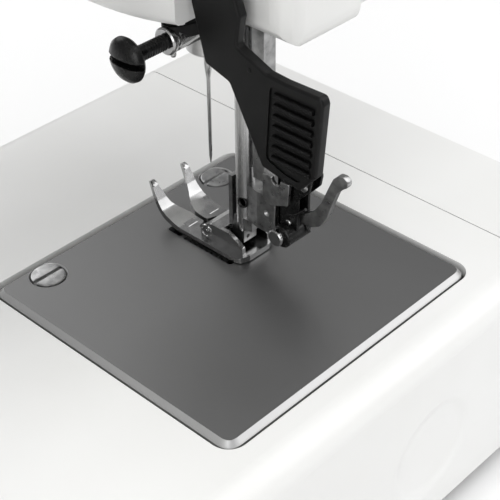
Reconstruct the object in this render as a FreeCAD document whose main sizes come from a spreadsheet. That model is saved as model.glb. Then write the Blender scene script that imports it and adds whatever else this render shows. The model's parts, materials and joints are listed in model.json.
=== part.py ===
"""Domestic zigzag sewing machine: flatbed with an end box, arm, pillar and a full set of moving parts.

Frame: millimetres, +Z up, +X towards the handwheel, +Y to the back. The origin is on the table,
under the middle of the machine. Heights near the needle are given above plate_top, the stitch plate.
"""
import FreeCAD, Part
import math
import os
import re
import Sketcher

V = FreeCAD.Vector
AXIS_TURN = {
    "X": FreeCAD.Rotation(V(0, 1, 0), 90),
    "Y": FreeCAD.Rotation(V(1, 0, 0), -90),
    "Z": FreeCAD.Rotation(),
}

SIZES = {
    # bed
    "end_left": -200, "box_seam": -170.2, "bed_right": 178, "bed_front": -75.5, "bed_back": 75.5,
    "bed_bottom": 8, "bed_top": 66, "wall": 3, "gap": 0.4,
    # needle axis and stitch plate
    "needle_x": -121.6, "needle_y": 3.5, "plate_top": 66.4, "plate_left": 31.9, "plate_right": 55.5,
    "plate_front": 23, "plate_back": 59.6, "plate_thick": 2, "plate_corner": 4, "plate_bevel": 1.5,
    # arm, pillar and head
    "arm_front": -41.5, "arm_back": 34, "pillar_back": 50, "casing_seam": 10, "arm_bottom": 191,
    "arm_top": 290, "head_bottom": 131.4, "cover_left": -171.6, "cover_seam": -141.4,
    "head_right": 16, "notch_right": 5.6, "pillar_left": 43.4, "pillar_right": 176,
    # shafts
    "main_z": 246, "main_radius": 5, "lower_y": 33.5, "lower_z": 35, "lower_radius": 4,
    "motor_y": -2, "motor_z": 100, "running": 0.05,
    # needle bar and presser bar
    "bar_radius": 3.2, "presser_y": 12.3, "presser_radius": 2.6, "swing_z": 262,
    "lifter_x": 9, "lifter_z": 200, "hook_radius": 22,
}

doc = FreeCAD.newDocument("sewing_machine")
sheet = doc.addObject("Spreadsheet::Sheet", "Sizes")
for row, (alias, value) in enumerate(SIZES.items(), start=1):
    sheet.set("A%d" % row, alias)
    sheet.set("B%d" % row, str(value))
    sheet.setAlias("B%d" % row, alias)
doc.recompute()
WORDS = re.compile(r"\b(%s)\b" % "|".join(sorted(SIZES, key=len, reverse=True)))
nodes = {}


def cell(value):
    """A number or a formula in the sheet's words, as an expression."""
    return WORDS.sub(r"Sizes.\1", str(value))


def size(value):
    """The same formula worked out to a number."""
    return float(worked_out(str(value)))


def worked_out(text):
    """Adds up a formula of words, numbers and + - * / with the sheet's own parser."""
    return sheet.evalExpression(cell(text))


def bind(thing, **formulas):
    """Ties properties of an object to formulas."""
    for name, formula in formulas.items():
        thing.setExpression(name.replace("__", "."), cell(formula))
    return thing


def place(thing, at):
    """Ties an object's position to three formulas."""
    return bind(thing, Placement__Base__x=at[0], Placement__Base__y=at[1], Placement__Base__z=at[2])


def node(label, thing):
    """Names a finished sub-part."""
    thing.Label = label
    nodes[label] = thing
    return thing


def box(x, y, z, name="block"):
    """A block between two formulas on each axis."""
    block = doc.addObject("Part::Box", name)
    bind(block, Length="(%s) - (%s)" % (x[1], x[0]), Width="(%s) - (%s)" % (y[1], y[0]),
         Height="(%s) - (%s)" % (z[1], z[0]))
    return place(block, (x[0], y[0], z[0]))


def rod(axis, at, radius, length, name="rod"):
    """A cylinder that starts at a point and runs along +axis."""
    thing = doc.addObject("Part::Cylinder", name)
    thing.Placement = FreeCAD.Placement(V(0, 0, 0), AXIS_TURN[axis])
    bind(thing, Radius=radius, Height=length)
    return place(thing, at)


def fuse(*things):
    """Several solids as one shape."""
    whole = doc.addObject("Part::MultiFuse", "joined")
    whole.Shapes = list(things)
    return whole


def cut(base, *tools):
    """A shape with others taken out of it."""
    result = doc.addObject("Part::Cut", "cut")
    result.Base = base
    result.Tool = tools[0] if len(tools) == 1 else fuse(*tools)
    return result


def group(*things):
    """Separate solids of one kind that share a node."""
    whole = doc.addObject("Part::Compound", "group")
    whole.Links = list(things)
    return whole


def rounded(base, radius, chosen):
    """Rounds the edges that chosen(edge) picks."""
    doc.recompute()
    result = doc.addObject("Part::Fillet", "rounded")
    result.Base = base
    picks = [n for n, edge in enumerate(base.Shape.Edges, start=1) if chosen(edge)]
    result.Edges = [(n, radius, radius) for n in picks]
    return result


def along(edge, axis):
    """True when a straight edge runs along an axis."""
    return edge.Curve.TypeId == "Part::GeomLine" and abs(abs(edge.tangentAt(0).dot(axis)) - 1) < 1e-6


def near(value, target):
    return abs(value - target) < 0.05


class Maker:
    """A PartDesign body and the few features that these sub-parts need."""

    PLANES = {"XY": ("XY_Plane", 1), "XZ": ("XZ_Plane", -1), "YZ": ("YZ_Plane", 1)}

    def __init__(self, name):
        self.body = doc.addObject("PartDesign::Body", name)

    def sketch(self, plane, shapes, level="0"):
        """Closed outlines on an origin plane: a list of points, or (centre x, centre y, radius)."""
        role, side = self.PLANES[plane]
        drawing = self.body.newObject("Sketcher::SketchObject", "outline")
        origin_plane = next(o for o in self.body.Origin.OriginFeatures if o.Role == role)
        drawing.AttachmentSupport = [(origin_plane, "")]
        drawing.MapMode = "FlatFace"
        sign = "" if side > 0 else "-1 * "
        drawing.setExpression("AttachmentOffset.Base.z", "%s(%s)" % (sign, cell(level)))
        for shape in shapes:
            if isinstance(shape, tuple):
                self._circle(drawing, *shape)
            else:
                self._polygon(drawing, shape)
        return drawing

    def _circle(self, drawing, x, y, radius):
        where = V(size(x), size(y), 0)
        n = drawing.addGeometry(Part.Circle(where, V(0, 0, 1), size(radius)), False)
        centre_x = drawing.addConstraint(Sketcher.Constraint("DistanceX", n, 3, where.x))
        centre_y = drawing.addConstraint(Sketcher.Constraint("DistanceY", n, 3, where.y))
        across = drawing.addConstraint(Sketcher.Constraint("Radius", n, size(radius)))
        for number, formula in ((centre_x, x), (centre_y, y), (across, radius)):
            drawing.setExpression("Constraints[%d]" % number, cell(formula))

    def _polygon(self, drawing, points):
        corners = [V(size(x), size(y), 0) for x, y in points]
        count = len(corners)
        first = drawing.GeometryCount
        lines = [Part.LineSegment(corners[i], corners[(i + 1) % count]) for i in range(count)]
        drawing.addGeometry(lines, False)
        for i in range(count):
            drawing.addConstraint(
                Sketcher.Constraint("Coincident", first + i, 2, first + (i + 1) % count, 1))
        for i, (x, y) in enumerate(points):
            for kind, formula, value in (("DistanceX", x, corners[i].x), ("DistanceY", y, corners[i].y)):
                number = drawing.addConstraint(Sketcher.Constraint(kind, first + i, 1, value))
                drawing.setExpression("Constraints[%d]" % number, cell(formula))

    def pad(self, plane, shapes, start, end):
        """Solid between two levels along the plane's world axis."""
        feature = self.body.newObject("PartDesign::Pad", "pad")
        feature.Profile = self.sketch(plane, shapes, start)
        feature.Reversed = self.PLANES[plane][1] < 0
        feature.setExpression("Length", cell("(%s) - (%s)" % (end, start)))
        return self

    def pocket(self, plane, shapes, start, end):
        """Takes out the space between two levels."""
        doc.recompute()
        before = self.body.Shape.Volume
        feature = self.body.newObject("PartDesign::Pocket", "pocket")
        feature.Profile = self.sketch(plane, shapes, start)
        feature.Reversed = self.PLANES[plane][1] > 0
        feature.setExpression("Length", cell("(%s) - (%s)" % (end, start)))
        doc.recompute()
        if self.body.Shape.Volume >= before:
            raise RuntimeError("a pocket in %s takes nothing away" % self.body.Name)
        return self

    def soften(self, kind, amount, chosen):
        """A fillet or a chamfer on the edges that chosen(edge) picks."""
        doc.recompute()
        previous = self.body.Tip
        names = ["Edge%d" % n for n, edge in enumerate(previous.Shape.Edges, start=1) if chosen(edge)]
        feature = self.body.newObject("PartDesign::" + kind, kind.lower())
        feature.Base = (previous, names)
        feature.setExpression("Radius" if kind == "Fillet" else "Size", cell(amount))
        return self


def turned(name, axis, at, profile):
    """A turned piece: profile holds (distance along the axis, radius) corners of one half."""
    maker = Maker(name)
    drawing = maker.sketch("XZ", [[(radius, along_axis) for along_axis, radius in profile]])
    spin = maker.body.newObject("PartDesign::Revolution", "turning")
    spin.Profile = drawing
    spin.ReferenceAxis = (drawing, ["V_Axis"])
    spin.Angle = 360
    maker.body.Placement = FreeCAD.Placement(V(0, 0, 0), AXIS_TURN[axis])
    return place(maker.body, at)


def plate(name, plane, shapes, start, end):
    return Maker(name).pad(plane, shapes, start, end).body


NX = "needle_x"
NY = "needle_y"
TOP = "plate_top"


def at_x(offset):
    return "%s + %s" % (NX, offset)


def at_y(offset):
    return "%s + %s" % (NY, offset)


def above(offset):
    return "%s + %s" % (TOP, offset)


def span(where, low, high):
    return (where(low), where(high))


# ---------------------------------------------------------------- bed

def make_bed():
    """Moulded bed casing with its cut-outs, the end box, the base cover, feet and doors."""
    depth = ("bed_front", "bed_back")
    shell = box(("box_seam + gap / 2", "bed_right"), depth, ("bed_bottom", "bed_top"))
    shell = rounded(shell, 7, lambda e: along(e, V(1, 0, 0)) and near(e.CenterOfMass.z, SIZES["bed_top"]))
    cavity = box(("box_seam + wall", "bed_right - wall"), ("bed_front + wall", "bed_back - wall"),
                 ("bed_bottom - 1", "bed_top - wall"))
    plate_hole = box((at_x("-1 * plate_left - 0.7"), at_x("plate_right + 0.7")),
                     (at_y("-1 * plate_front - 0.7"), at_y("plate_back + 0.7")),
                     ("bed_top - 6", "bed_top + 4"))
    plate_hole = rounded(plate_hole, 5, lambda e: along(e, V(0, 0, 1)))
    pillar_hole = box(("60", "160"), ("-30", "47"), ("bed_top - 6", "bed_top + 4"))
    door_hole = box(span(at_x, -26, 34), ("bed_front - 2", "bed_front + 5"), ("16", "54"))
    cap_hole = rod("Y", (at_x(-4), "bed_back - 6", above(-35)), 16.4, 8)
    inlet_hole = box(("bed_right - 5", "bed_right + 2"), ("19.7", "50.3"), ("19.7", "42.3"))
    node("bed_casing", cut(shell, cavity, plate_hole, pillar_hole, door_hole, cap_hole, inlet_hole))

    cap = fuse(rod("Y", (at_x(-4), "bed_back - 3", above(-35)), 16, 3),
               rod("Y", (at_x(-4), "bed_back - 5", above(-35)), 19, 2))
    node("rear_cap", cap)

    end_box = box(("end_left", "box_seam - gap / 2"), depth, ("bed_bottom", "bed_top"))
    end_box = rounded(end_box, 7, lambda e: along(e, V(1, 0, 0)) and near(e.CenterOfMass.z, SIZES["bed_top"]))
    hollow = box(("end_left + wall", "box_seam - wall"), ("bed_front + wall", "bed_back - wall"),
                 ("bed_bottom + wall", "bed_top - wall"))
    lid_hole = box(("end_left - 1", "end_left + wall + 1"), ("-60", "60"), ("20", "55"))
    node("accessory_box", cut(end_box, hollow, lid_hole))
    lid = box(("end_left + 0.4", "end_left + 2.8"), ("-59.5", "59.5"), ("22.1", "54.5"))
    grip = box(("end_left + 2", "end_left + 4"), ("-12", "12"), ("49", "53"))
    barrel = rod("Y", ("end_left + 1.6", "-59.5", "22.1"), 1.2, 119)
    node("accessory_lid", fuse(lid, grip, barrel))

    cover = box(("box_seam + wall + 0.7", "bed_right - wall - 0.5"), ("bed_front + 3.5", "bed_back - 3.5"),
                ("8.5", "11"))
    vents = [box(("%d" % x, "%d" % (x + 3)), ("-20", "30"), ("7", "13")) for x in range(70, 126, 8)]
    node("bottom_cover", cut(cover, *vents))
    feet = []
    for x in (-150, 158):
        for y in (-58, 58):
            foot = doc.addObject("Part::Cone", "foot")
            bind(foot, Radius1=8, Radius2=9, Height=8.5)
            feet.append(place(foot, (x, y, 0)))
    node("rubber_feet", group(*feet))

    door = box(span(at_x, -25.6, 33.6), ("bed_front + 0.3", "bed_front + 2.7"), ("18.1", "53.6"))
    tab = box(span(at_x, -4, 12), ("bed_front + 2.5", "bed_front + 5"), ("48", "52"))
    barrel = rod("X", (at_x(-25.6), "bed_front + 1.5", "18.1"), 1.2, 59.2)
    node("shuttle_door", fuse(door, tab, barrel))


def make_plate():
    """Steel stitch plate with bevelled edges, needle slot and feed slots, and its two screws."""
    maker = Maker("stitch_plate")
    left, right = at_x("-1 * plate_left"), at_x("plate_right")
    front, back = at_y("-1 * plate_front"), at_y("plate_back")
    outline = [(left, front), (right, front), (right, back), (left, back)]
    maker.pad("XY", [outline], "plate_top - plate_thick", "plate_top")
    maker.soften("Fillet", "plate_corner", lambda e: along(e, V(0, 0, 1)))
    maker.soften("Chamfer", "plate_bevel / 1.5", lambda e: near(e.CenterOfMass.z, SIZES["plate_top"]))

    def slot(x0, x1, y0, y1):
        return [(at_x(x0), at_y(y0)), (at_x(x1), at_y(y0)), (at_x(x1), at_y(y1)), (at_x(x0), at_y(y1))]

    slots = [slot(-3.5, 3.5, -1, 1), slot(-8, -5, -9, 14), slot(5, 8, -9, 14), slot(-2.2, 2.2, 4, 14)]
    maker.pocket("XY", slots, "plate_top - plate_thick - 1", "plate_top + 1")
    for radius, floor in (("4.6", "plate_top - 1.3"), ("2.1", "plate_top - plate_thick - 1")):
        holes = [(at_x(x), at_y(-16.8), radius) for x in (42, -18.4)]
        maker.pocket("XY", holes, floor, "plate_top + 1")
    node("needle_plate", maker.body)
    screws = []
    for x in (42, -18.4):
        screw = turned("plate_screw", "Z", (at_x(x), at_y(-16.8), "plate_top - 10"),
                       [(0, 0), (0, 1.9), (8.7, 1.9), (8.7, 4.3), (9.8, 4.3), (9.8, 0)])
        groove = box((at_x(x - 6), at_x(x + 6)), span(at_y, -17.4, -16.2), ("plate_top - 1", "plate_top + 1"))
        screws.append(cut(screw, groove))
    node("plate_screws", group(*screws))


def make_bed_frame():
    """Die-cast frame under the stitch plate: seat, rails, webs and the arm that carries the hook shaft."""
    low = "plate_top - plate_thick - 4.4"
    seat = box(span(at_x, -30, 54), span(at_y, -21.5, 58), (low, "plate_top - plate_thick"))
    window = box(span(at_x, -25, 32), span(at_y, -11.5, 50), ("%s - 1" % low, "plate_top"))
    screw_holes = [rod("Z", (at_x(x), at_y(-16.8), "50"), 1.95, 20) for x in (42, -18.4)]
    rails = [box((at_x(40), "120"), span(at_y, y, y + 5), ("14", "62")) for y in (-21.5, 53)]
    web_left = box(span(at_x, 40, 46), span(at_y, -21.5, 58), ("14", "62"))
    web_right = box(("114", "120"), span(at_y, -21.5, 58), ("14", "58"))
    hook_arm = box(span(at_x, -9, 42), span(at_y, 2, 10), ("lower_z - 9", "lower_z + 9"))
    legs = [box(("%s" % x, "%s + 8" % x), (y, "%s + 8" % y), ("11", "18"))
            for x in (at_x(44), "110") for y in (at_y(-21.5), at_y(50))]
    bores = [rod("X", (at_x(30), "lower_y", "lower_z"), "lower_radius + running", 300),
             rod("Y", (at_x(0), at_y(-5), "lower_z"), "lower_radius + running", 17.5)]
    node("bed_frame", cut(fuse(seat, *rails, web_left, web_right, hook_arm, *legs),
                          window, *screw_holes, *bores))


# ---------------------------------------------------------------- casings

def c_outline(inset, bottom_inset):
    """Side view of head, arm and pillar as one outline, shrunk by the wall on every closed side."""
    left = "cover_seam + gap / 2" if inset == "0" else "cover_seam - 5"
    return [
        (left, "head_bottom + %s" % inset),
        (at_x("head_right - %s" % inset), "head_bottom + %s" % inset),
        (at_x("head_right - %s" % inset), "arm_bottom + %s" % inset),
        ("pillar_left + %s" % inset, "arm_bottom + %s" % inset),
        ("pillar_left + %s" % inset, "bed_top + 0.2 - %s" % bottom_inset),
        ("pillar_right - %s" % inset, "bed_top + 0.2 - %s" % bottom_inset),
        ("pillar_right - %s" % inset, "arm_top - %s" % inset),
        (left, "arm_top - %s" % inset),
    ]


def make_front_casing():
    """Front half shell of head, arm and pillar."""
    maker = Maker("front_shell")
    maker.pad("XZ", [c_outline("0", "0")], "arm_front", "casing_seam - gap / 2")
    maker.soften("Fillet", 9, lambda e: near(e.CenterOfMass.y, SIZES["arm_front"])
                 and abs(e.CenterOfMass.x - SIZES["cover_seam"]) > 5
                 and abs(e.CenterOfMass.z - SIZES["bed_top"]) > 5)
    maker.pocket("XZ", [c_outline("wall", "10")], "arm_front + wall", "casing_seam + 5")
    shell = maker.body
    web = box(span(at_x, 9, "head_right - 1"), ("casing_seam - gap / 2 - 2", "casing_seam - gap / 2"),
              ("head_bottom", "arm_bottom + 1"))
    needle_exit = box(("cover_seam - 5", at_x("head_right - 3")), (at_y(-14), "casing_seam + 5"),
                      ("head_bottom - 1", "head_bottom + 4"))
    shaft_exit = rod("X", ("pillar_right - 6", NY, "main_z"), "main_radius + 1", 12)
    lever_slot = box(span(at_x, -16, -11), ("arm_front - 2", "arm_front + 5"), ("196", "274"))
    dial_holes = [rod("Y", (x, "arm_front - 2", z), 3.4, 8)
                  for x, z in ((at_x(3), "222"), ("110", "150"), ("110", "222"))]
    reverse_hole = box(("99", "121"), ("arm_front - 2", "arm_front + 5"), ("92", "116"))
    switch_hole = box(("pillar_right - 5", "pillar_right + 2"), ("-32.5", "-17.5"), ("88", "112"))
    winder_hole = rod("Z", ("132", "-14", "arm_top - 5"), 5, 8)
    ears = [fuse(rod("X", (x, -4, "arm_top + 4.5"), 4, 4.5),
                 box((x, x + 4.5), (-8, 0), ("arm_top - 1", "arm_top + 4.5"))) for x in (-59, 75.5)]
    pin_seats = [rod("X", (x, -4, "arm_top + 4.5"), 2, 8) for x in (-60, 74)]
    node("front_casing", cut(fuse(shell, web, *ears), needle_exit, shaft_exit, lever_slot, *dial_holes,
                             reverse_hole, switch_hole, winder_hole, *pin_seats))


def cover_barrels(start, radius, length):
    """Two hinge barrels, or the room for them, on the axis at the cover's rear corner."""
    return [rod("Z", ("cover_seam", "arm_back + 0.3", z + start), radius, length) for z in (150, 240)]


def make_rear_casing():
    """Rear half shell: narrower at the head, where the lifter stands in a notch, and deeper at the pillar."""
    seam = "casing_seam + gap / 2"
    notch = "notch_right"
    low = "head_bottom"
    head_and_arm = box(("cover_seam + gap / 2", "pillar_right"), (seam, "arm_back"), ("arm_bottom", "arm_top"))
    head = box(("cover_seam + gap / 2", at_x(notch)), (seam, "arm_back"), (low, "arm_bottom + 5"))
    pillar = box(("pillar_left", "pillar_right"), (seam, "pillar_back"), ("bed_top + 0.2", "arm_top"))
    outer = rounded(fuse(head_and_arm, head, pillar), 7, is_rear_edge)
    head_in = box(("cover_seam - 5", at_x(notch + " - 2")), ("casing_seam - 5", "arm_back - wall"),
                  ("head_bottom + wall", "arm_bottom + 8"))
    arm_in = box(("cover_seam - 5", "pillar_right - wall"), ("casing_seam - 5", "arm_back - wall"),
                 ("arm_bottom + wall", "arm_top - wall"))
    pillar_in = box(("pillar_left + wall", "pillar_right - wall"), ("casing_seam - 5", "pillar_back - wall"),
                    ("bed_top - 5", "arm_top - wall"))
    bar_exit = box((at_x(-14), at_x("notch_right - 2")), ("casing_seam - 5", at_y(23)),
                   ("head_bottom - 1", "head_bottom + 6"))
    lifter_slot = box(span(at_x, 8.6, 39), ("casing_seam - 1", at_y(23)), ("arm_bottom - 1", "arm_bottom + 4"))
    pin_hole = rod("Z", ("110", "24", "arm_top - 5"), 2.9, 8)
    vents = [box(("%d" % x, "%d" % (x + 3)), ("pillar_back - 5", "pillar_back + 2"), ("90", "130"))
             for x in range(76, 140, 8)]
    shell = cut(outer, head_in, arm_in, pillar_in, bar_exit, lifter_slot, pin_hole, *vents,
                *cover_barrels(-0.4, 2, 10.6))
    node("rear_casing", fuse(shell, *cover_barrels(10.2, 1.6, 10)))


def is_rear_edge(edge):
    """Edges of the rear shell's back faces, apart from those in the cover seam and on the bed."""
    middle = edge.CenterOfMass
    at_back = near(middle.y, SIZES["arm_back"]) or near(middle.y, SIZES["pillar_back"])
    joins_pillar = near(middle.y, SIZES["arm_back"]) and near(middle.x, SIZES["pillar_left"])
    return (at_back and not joins_pillar and middle.x - SIZES["cover_seam"] > 5
            and middle.z - SIZES["bed_top"] > 5 and edge.Curve.TypeId == "Part::GeomLine")


def make_face_cover():
    """Cap over the left end of the head. It swings to the back on a corner hinge."""
    right = "cover_seam - gap / 2"
    outer = box(("cover_left", right), ("arm_front", "arm_back"), ("head_bottom", "arm_top"))
    outer = rounded(outer, 9, lambda e: not near(e.CenterOfMass.x, SIZES["cover_seam"] - SIZES["gap"] / 2)
                    and e.CenterOfMass.x < SIZES["cover_seam"] - 2)
    inner = box(("cover_left + wall", "cover_seam + 2"), ("arm_front + wall", "arm_back - wall"),
                ("head_bottom + wall", "arm_top - wall"))
    inner = rounded(inner, 6, lambda e: e.CenterOfMass.x < SIZES["cover_seam"] - 2)
    shell = cut(outer, inner, *cover_barrels(9.8, 2, 10.8))
    node("face_cover", fuse(shell, *cover_barrels(0, 1.6, 9.8)))


def make_handle():
    """Folding carrying handle: two arms, a grip and its pivots at the front end of the arms."""
    arms = [box((x, x + 9), (-4, 26), ("arm_top + 0.5", "arm_top + 8.5")) for x in (-54, 66)]
    arms += [rod("X", (x, -4, "arm_top + 4.5"), 4, 9) for x in (-54, 66)]
    grip = box((-54, 75), (18, 30), ("arm_top + 0.5", "arm_top + 8.5"))
    handle = rounded(fuse(*arms, grip), 2.5, lambda e: along(e, V(1, 0, 0)) and e.Length > 100)
    bores = [rod("X", (x - 2, -4, "arm_top + 4.5"), 2.05, 13) for x in (-54, 66)]
    node("carry_handle", cut(handle, *bores))


# ---------------------------------------------------------------- arm mechanism

def make_arm_frame():
    """Die-cast arm: column, beam, three bearing webs and the head plate with the presser bar guides."""
    beam = box(("-98", "122"), ("-20", "26"), ("197", "203"))
    side_rail = fuse(box(("110", "168"), ("-34", "-27"), ("197", "203")),
                     box(("110", "122"), ("-34", "26"), ("197", "203")))
    webs = [box((x, x + 8), (front, "28"), ("197", "275")) for x, front in ((-98, -20), (92, -20), (160, -34))]
    column = box(("52", "62"), ("-26", "30"), ("67", "203"))
    foot = box(("50", "66"), ("-28", "42"), ("66.5", "72"))
    head_plate = box((at_x(-12), "-90"), span(at_y, 23, 26.5), ("203", "275"))
    lower_plate = box((at_x(-12), at_x(3)), span(at_y, 23, 26.5), ("136", "204"))
    guides = [box(span(at_x, -7, 3.3), span(at_y, 9.4, 23.5), (z, z + 10)) for z in (138, 248)]
    swing_lug = box(span(at_x, -6, 6), span(at_y, 10.5, 23.5), ("swing_z - 4", "swing_z + 6"))
    lifter_lug = box(span(at_x, 2, 16), span(at_y, 22, 26.5), ("lifter_z - 5.8", "205"))
    take_up_arm = fuse(box(span(at_x, -18.5, -16.5), ("-15", at_y(26.5)), ("226", "238")),
                       box(span(at_x, -18.5, -11), span(at_y, 23, 26.5), ("226", "238")))
    bores = [rod("X", ("-110", NY, "main_z"), "main_radius + 3", 300),
             rod("X", (at_x(-19), -11, "232"), 1.95, 4),
             rod("Z", (NX, at_y("presser_y"), "120"), "presser_radius + running", 139),
             rod("Y", (NX, at_y(3), "swing_z"), 2.5, 30),
             rod("Y", (at_x("lifter_x"), at_y(3), "lifter_z"), 2, 30)]
    rod_way = box(span(at_x, -2.4, 2.4), span(at_y, 16.2, 20.6), ("120", "225"))
    casting = fuse(beam, side_rail, *webs, column, foot, head_plate, lower_plate, *guides, swing_lug, lifter_lug,
                   take_up_arm)
    node("arm_frame", cut(casting, *bores, rod_way))
    bushes = []
    for x in (-99, 91, 159):
        bush = rod("X", (x, NY, "main_z"), "main_radius + 3", 10)
        bushes.append(cut(bush, rod("X", (x - 1, NY, "main_z"), "main_radius + running", 12)))
    node("shaft_bushes", group(*bushes))
    pins = [rod("Y", (NX, at_y(4.2), "swing_z"), 2.5, 22),
            rod("Y", (at_x("lifter_x"), at_y(7.4), "lifter_z"), 2, 19),
            rod("X", (-58, -4, "arm_top + 4.5"), 2, 13), rod("X", (66, -4, "arm_top + 4.5"), 2, 13),
            rod("X", (at_x(-18.5), -11, "232"), 1.95, 6.5)]
    node("pivot_pins", group(*pins))


def make_main_shaft():
    """Upper shaft with its crank disc, the two belt wheels, the handwheel and the clutch knob."""
    node("main_shaft", rod("X", (at_x(13.5), NY, "main_z"), "main_radius", "200 - 1 - (needle_x + 13.5)"))
    disc = fuse(rod("X", (at_x(13.5), NY, "main_z"), 10, 7), rod("X", (at_x(14), NY, "main_z + 4"), 18, 5))
    weight_cut = box(span(at_x, 12, 22), (NY + " - 24", NY + " + 24"), ("main_z - 20", "main_z - 11"))
    pin = rod("X", (at_x(11), NY, "main_z + 16.5"), 3, 4)
    bore = rod("X", (at_x(10), NY, "main_z"), "main_radius", 20)
    node("crank_disc", cut(fuse(cut(disc, weight_cut), pin), bore))
    timing = turned("timing_wheel", "X", ("126", NY, "main_z"),
                    [(0, 5), (0, 16), (1.5, 16), (1.5, 14), (10.5, 14), (10.5, 16), (12, 16), (12, 5)])
    drive = turned("drive_wheel", "X", ("146", NY, "main_z"),
                   [(0, 5), (0, 31), (2, 31), (2.8, 27), (7.6, 27), (8.4, 31), (10, 31), (10, 5)])
    node("shaft_wheels", group(timing, drive))
    wheel = turned("wheel", "X", ("179", NY, "main_z"),
                   [(0, 5), (0, 28), (2, 34), (15, 34), (18, 31), (18, 26), (12, 24), (12, 15.3),
                    (15, 15.3), (15, 5)])
    node("handwheel", wheel)
    knob = turned("knob", "X", ("194.3", NY, "main_z"),
                  [(0, 5.05), (0, 14.8), (5, 14.8), (5.7, 13.5), (5.7, 0), (4.9, 0), (4.9, 5.05)])
    node("clutch_knob", knob)


def make_motor():
    """Motor can in the pillar, its rotor with the small pulley, and both belts."""
    can = rod("X", ("70", "motor_y", "motor_z"), 24, 50)
    nose = rod("X", ("119", "motor_y", "motor_z"), 9, 5)
    bore = rod("X", ("65", "motor_y", "motor_z"), 3.05, 70)
    space = rod("X", ("74", "motor_y", "motor_z"), 20, 42)
    bracket = box(("62", "74"), ("-26", "10"), ("74", "80"))
    node("motor_housing", cut(fuse(can, nose, bracket), bore, space))
    rotor = fuse(rod("X", ("68", "motor_y", "motor_z"), 3, 90), rod("X", ("78", "motor_y", "motor_z"), 17, 34))
    pulley = turned("motor_pulley", "X", ("147", "motor_y", "motor_z"),
                    [(0, 3), (0, 8), (1.2, 8), (2, 5), (6.5, 5), (7.3, 8), (8.5, 8), (8.5, 3)])
    node("motor_rotor", fuse(rotor, pulley))
    node("timing_belt", belt(("128", 8), ("lower_y", "lower_z", 14.35), (NY, "main_z", 14.35), 1.5))
    node("drive_belt", belt(("149.6", 3.3), ("motor_y", "motor_z", 5.6), (NY, "main_z", 27.6), 2.6))


def belt(width, low, high, thick):
    """A closed belt round two wheels: outer hull less inner hull, both from circles and tangents."""
    start, across = width

    def hull(extra):
        ends = [(size(y), size(z), radius + extra) for y, z, radius in (low, high)]
        (y0, z0, r0), (y1, z1, r1) = ends
        away = math.atan2(z1 - z0, y1 - y0)
        lean = math.acos((r0 - r1) / math.hypot(y1 - y0, z1 - z0))
        corners = []
        for turn in (lean, -lean):
            for y, z, r in ends:
                corners.append(V(0, y + r * math.cos(away + turn), z + r * math.sin(away + turn)))
        a, b, d, c = corners
        back = [V(0, y + s * r * math.cos(away), z + s * r * math.sin(away))
                for (y, z, r), s in ((ends[0], -1), (ends[1], 1))]
        edges = [Part.makeLine(a, b), Part.Arc(b, back[1], c).toShape(), Part.makeLine(c, d),
                 Part.Arc(d, back[0], a).toShape()]
        return Part.Face(Part.Wire(edges))

    ring = hull(thick).cut(hull(0)).extrude(V(across, 0, 0))
    band = doc.addObject("Part::Feature", "belt")
    band.Shape = ring
    band.Placement = FreeCAD.Placement(V(size(start), 0, 0), FreeCAD.Rotation())
    return band


def make_lower_drive():
    """Lower shaft, its bevel wheel and timing wheel, and the rotary hook with its own bevel wheel."""
    node("lower_shaft", rod("X", (at_x(7), "lower_y", "lower_z"), "lower_radius", "138 - (needle_x + 7)"))
    wheel = turned("lower_wheel", "X", ("126", "lower_y", "lower_z"),
                   [(0, 4), (0, 16), (1.5, 16), (1.5, 14), (10.5, 14), (10.5, 16), (12, 16), (12, 4)])
    gear = bevel_gear("lower_gear", "X", (at_x(8), "lower_y", "lower_z"), 28, 16, 8, 4, 1)
    node("lower_wheels", group(wheel, gear))
    hook_gear = bevel_gear("hook_gear", "Y", (at_x(0), "lower_y - 16.5", "lower_z"), 14, 8, 16, 4, -1)
    cup = turned("hook", "Y", (at_x(0), at_y(-15), "lower_z"),
                 [(0, 18), (0, "hook_radius"), (13.5, "hook_radius"), (13.5, 0), (11.5, 0), (11.5, 18)])
    shaft = rod("Y", (at_x(0), at_y(-1.6), "lower_z"), "lower_radius", "lower_y - 16.5 - (needle_y - 1.6)")
    window = box(span(at_x, 4, 30), span(at_y, -16, -7), ("lower_z - 12", "lower_z + 30"))
    node("rotary_hook", fuse(cut(cup, window), shaft, hook_gear))


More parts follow.
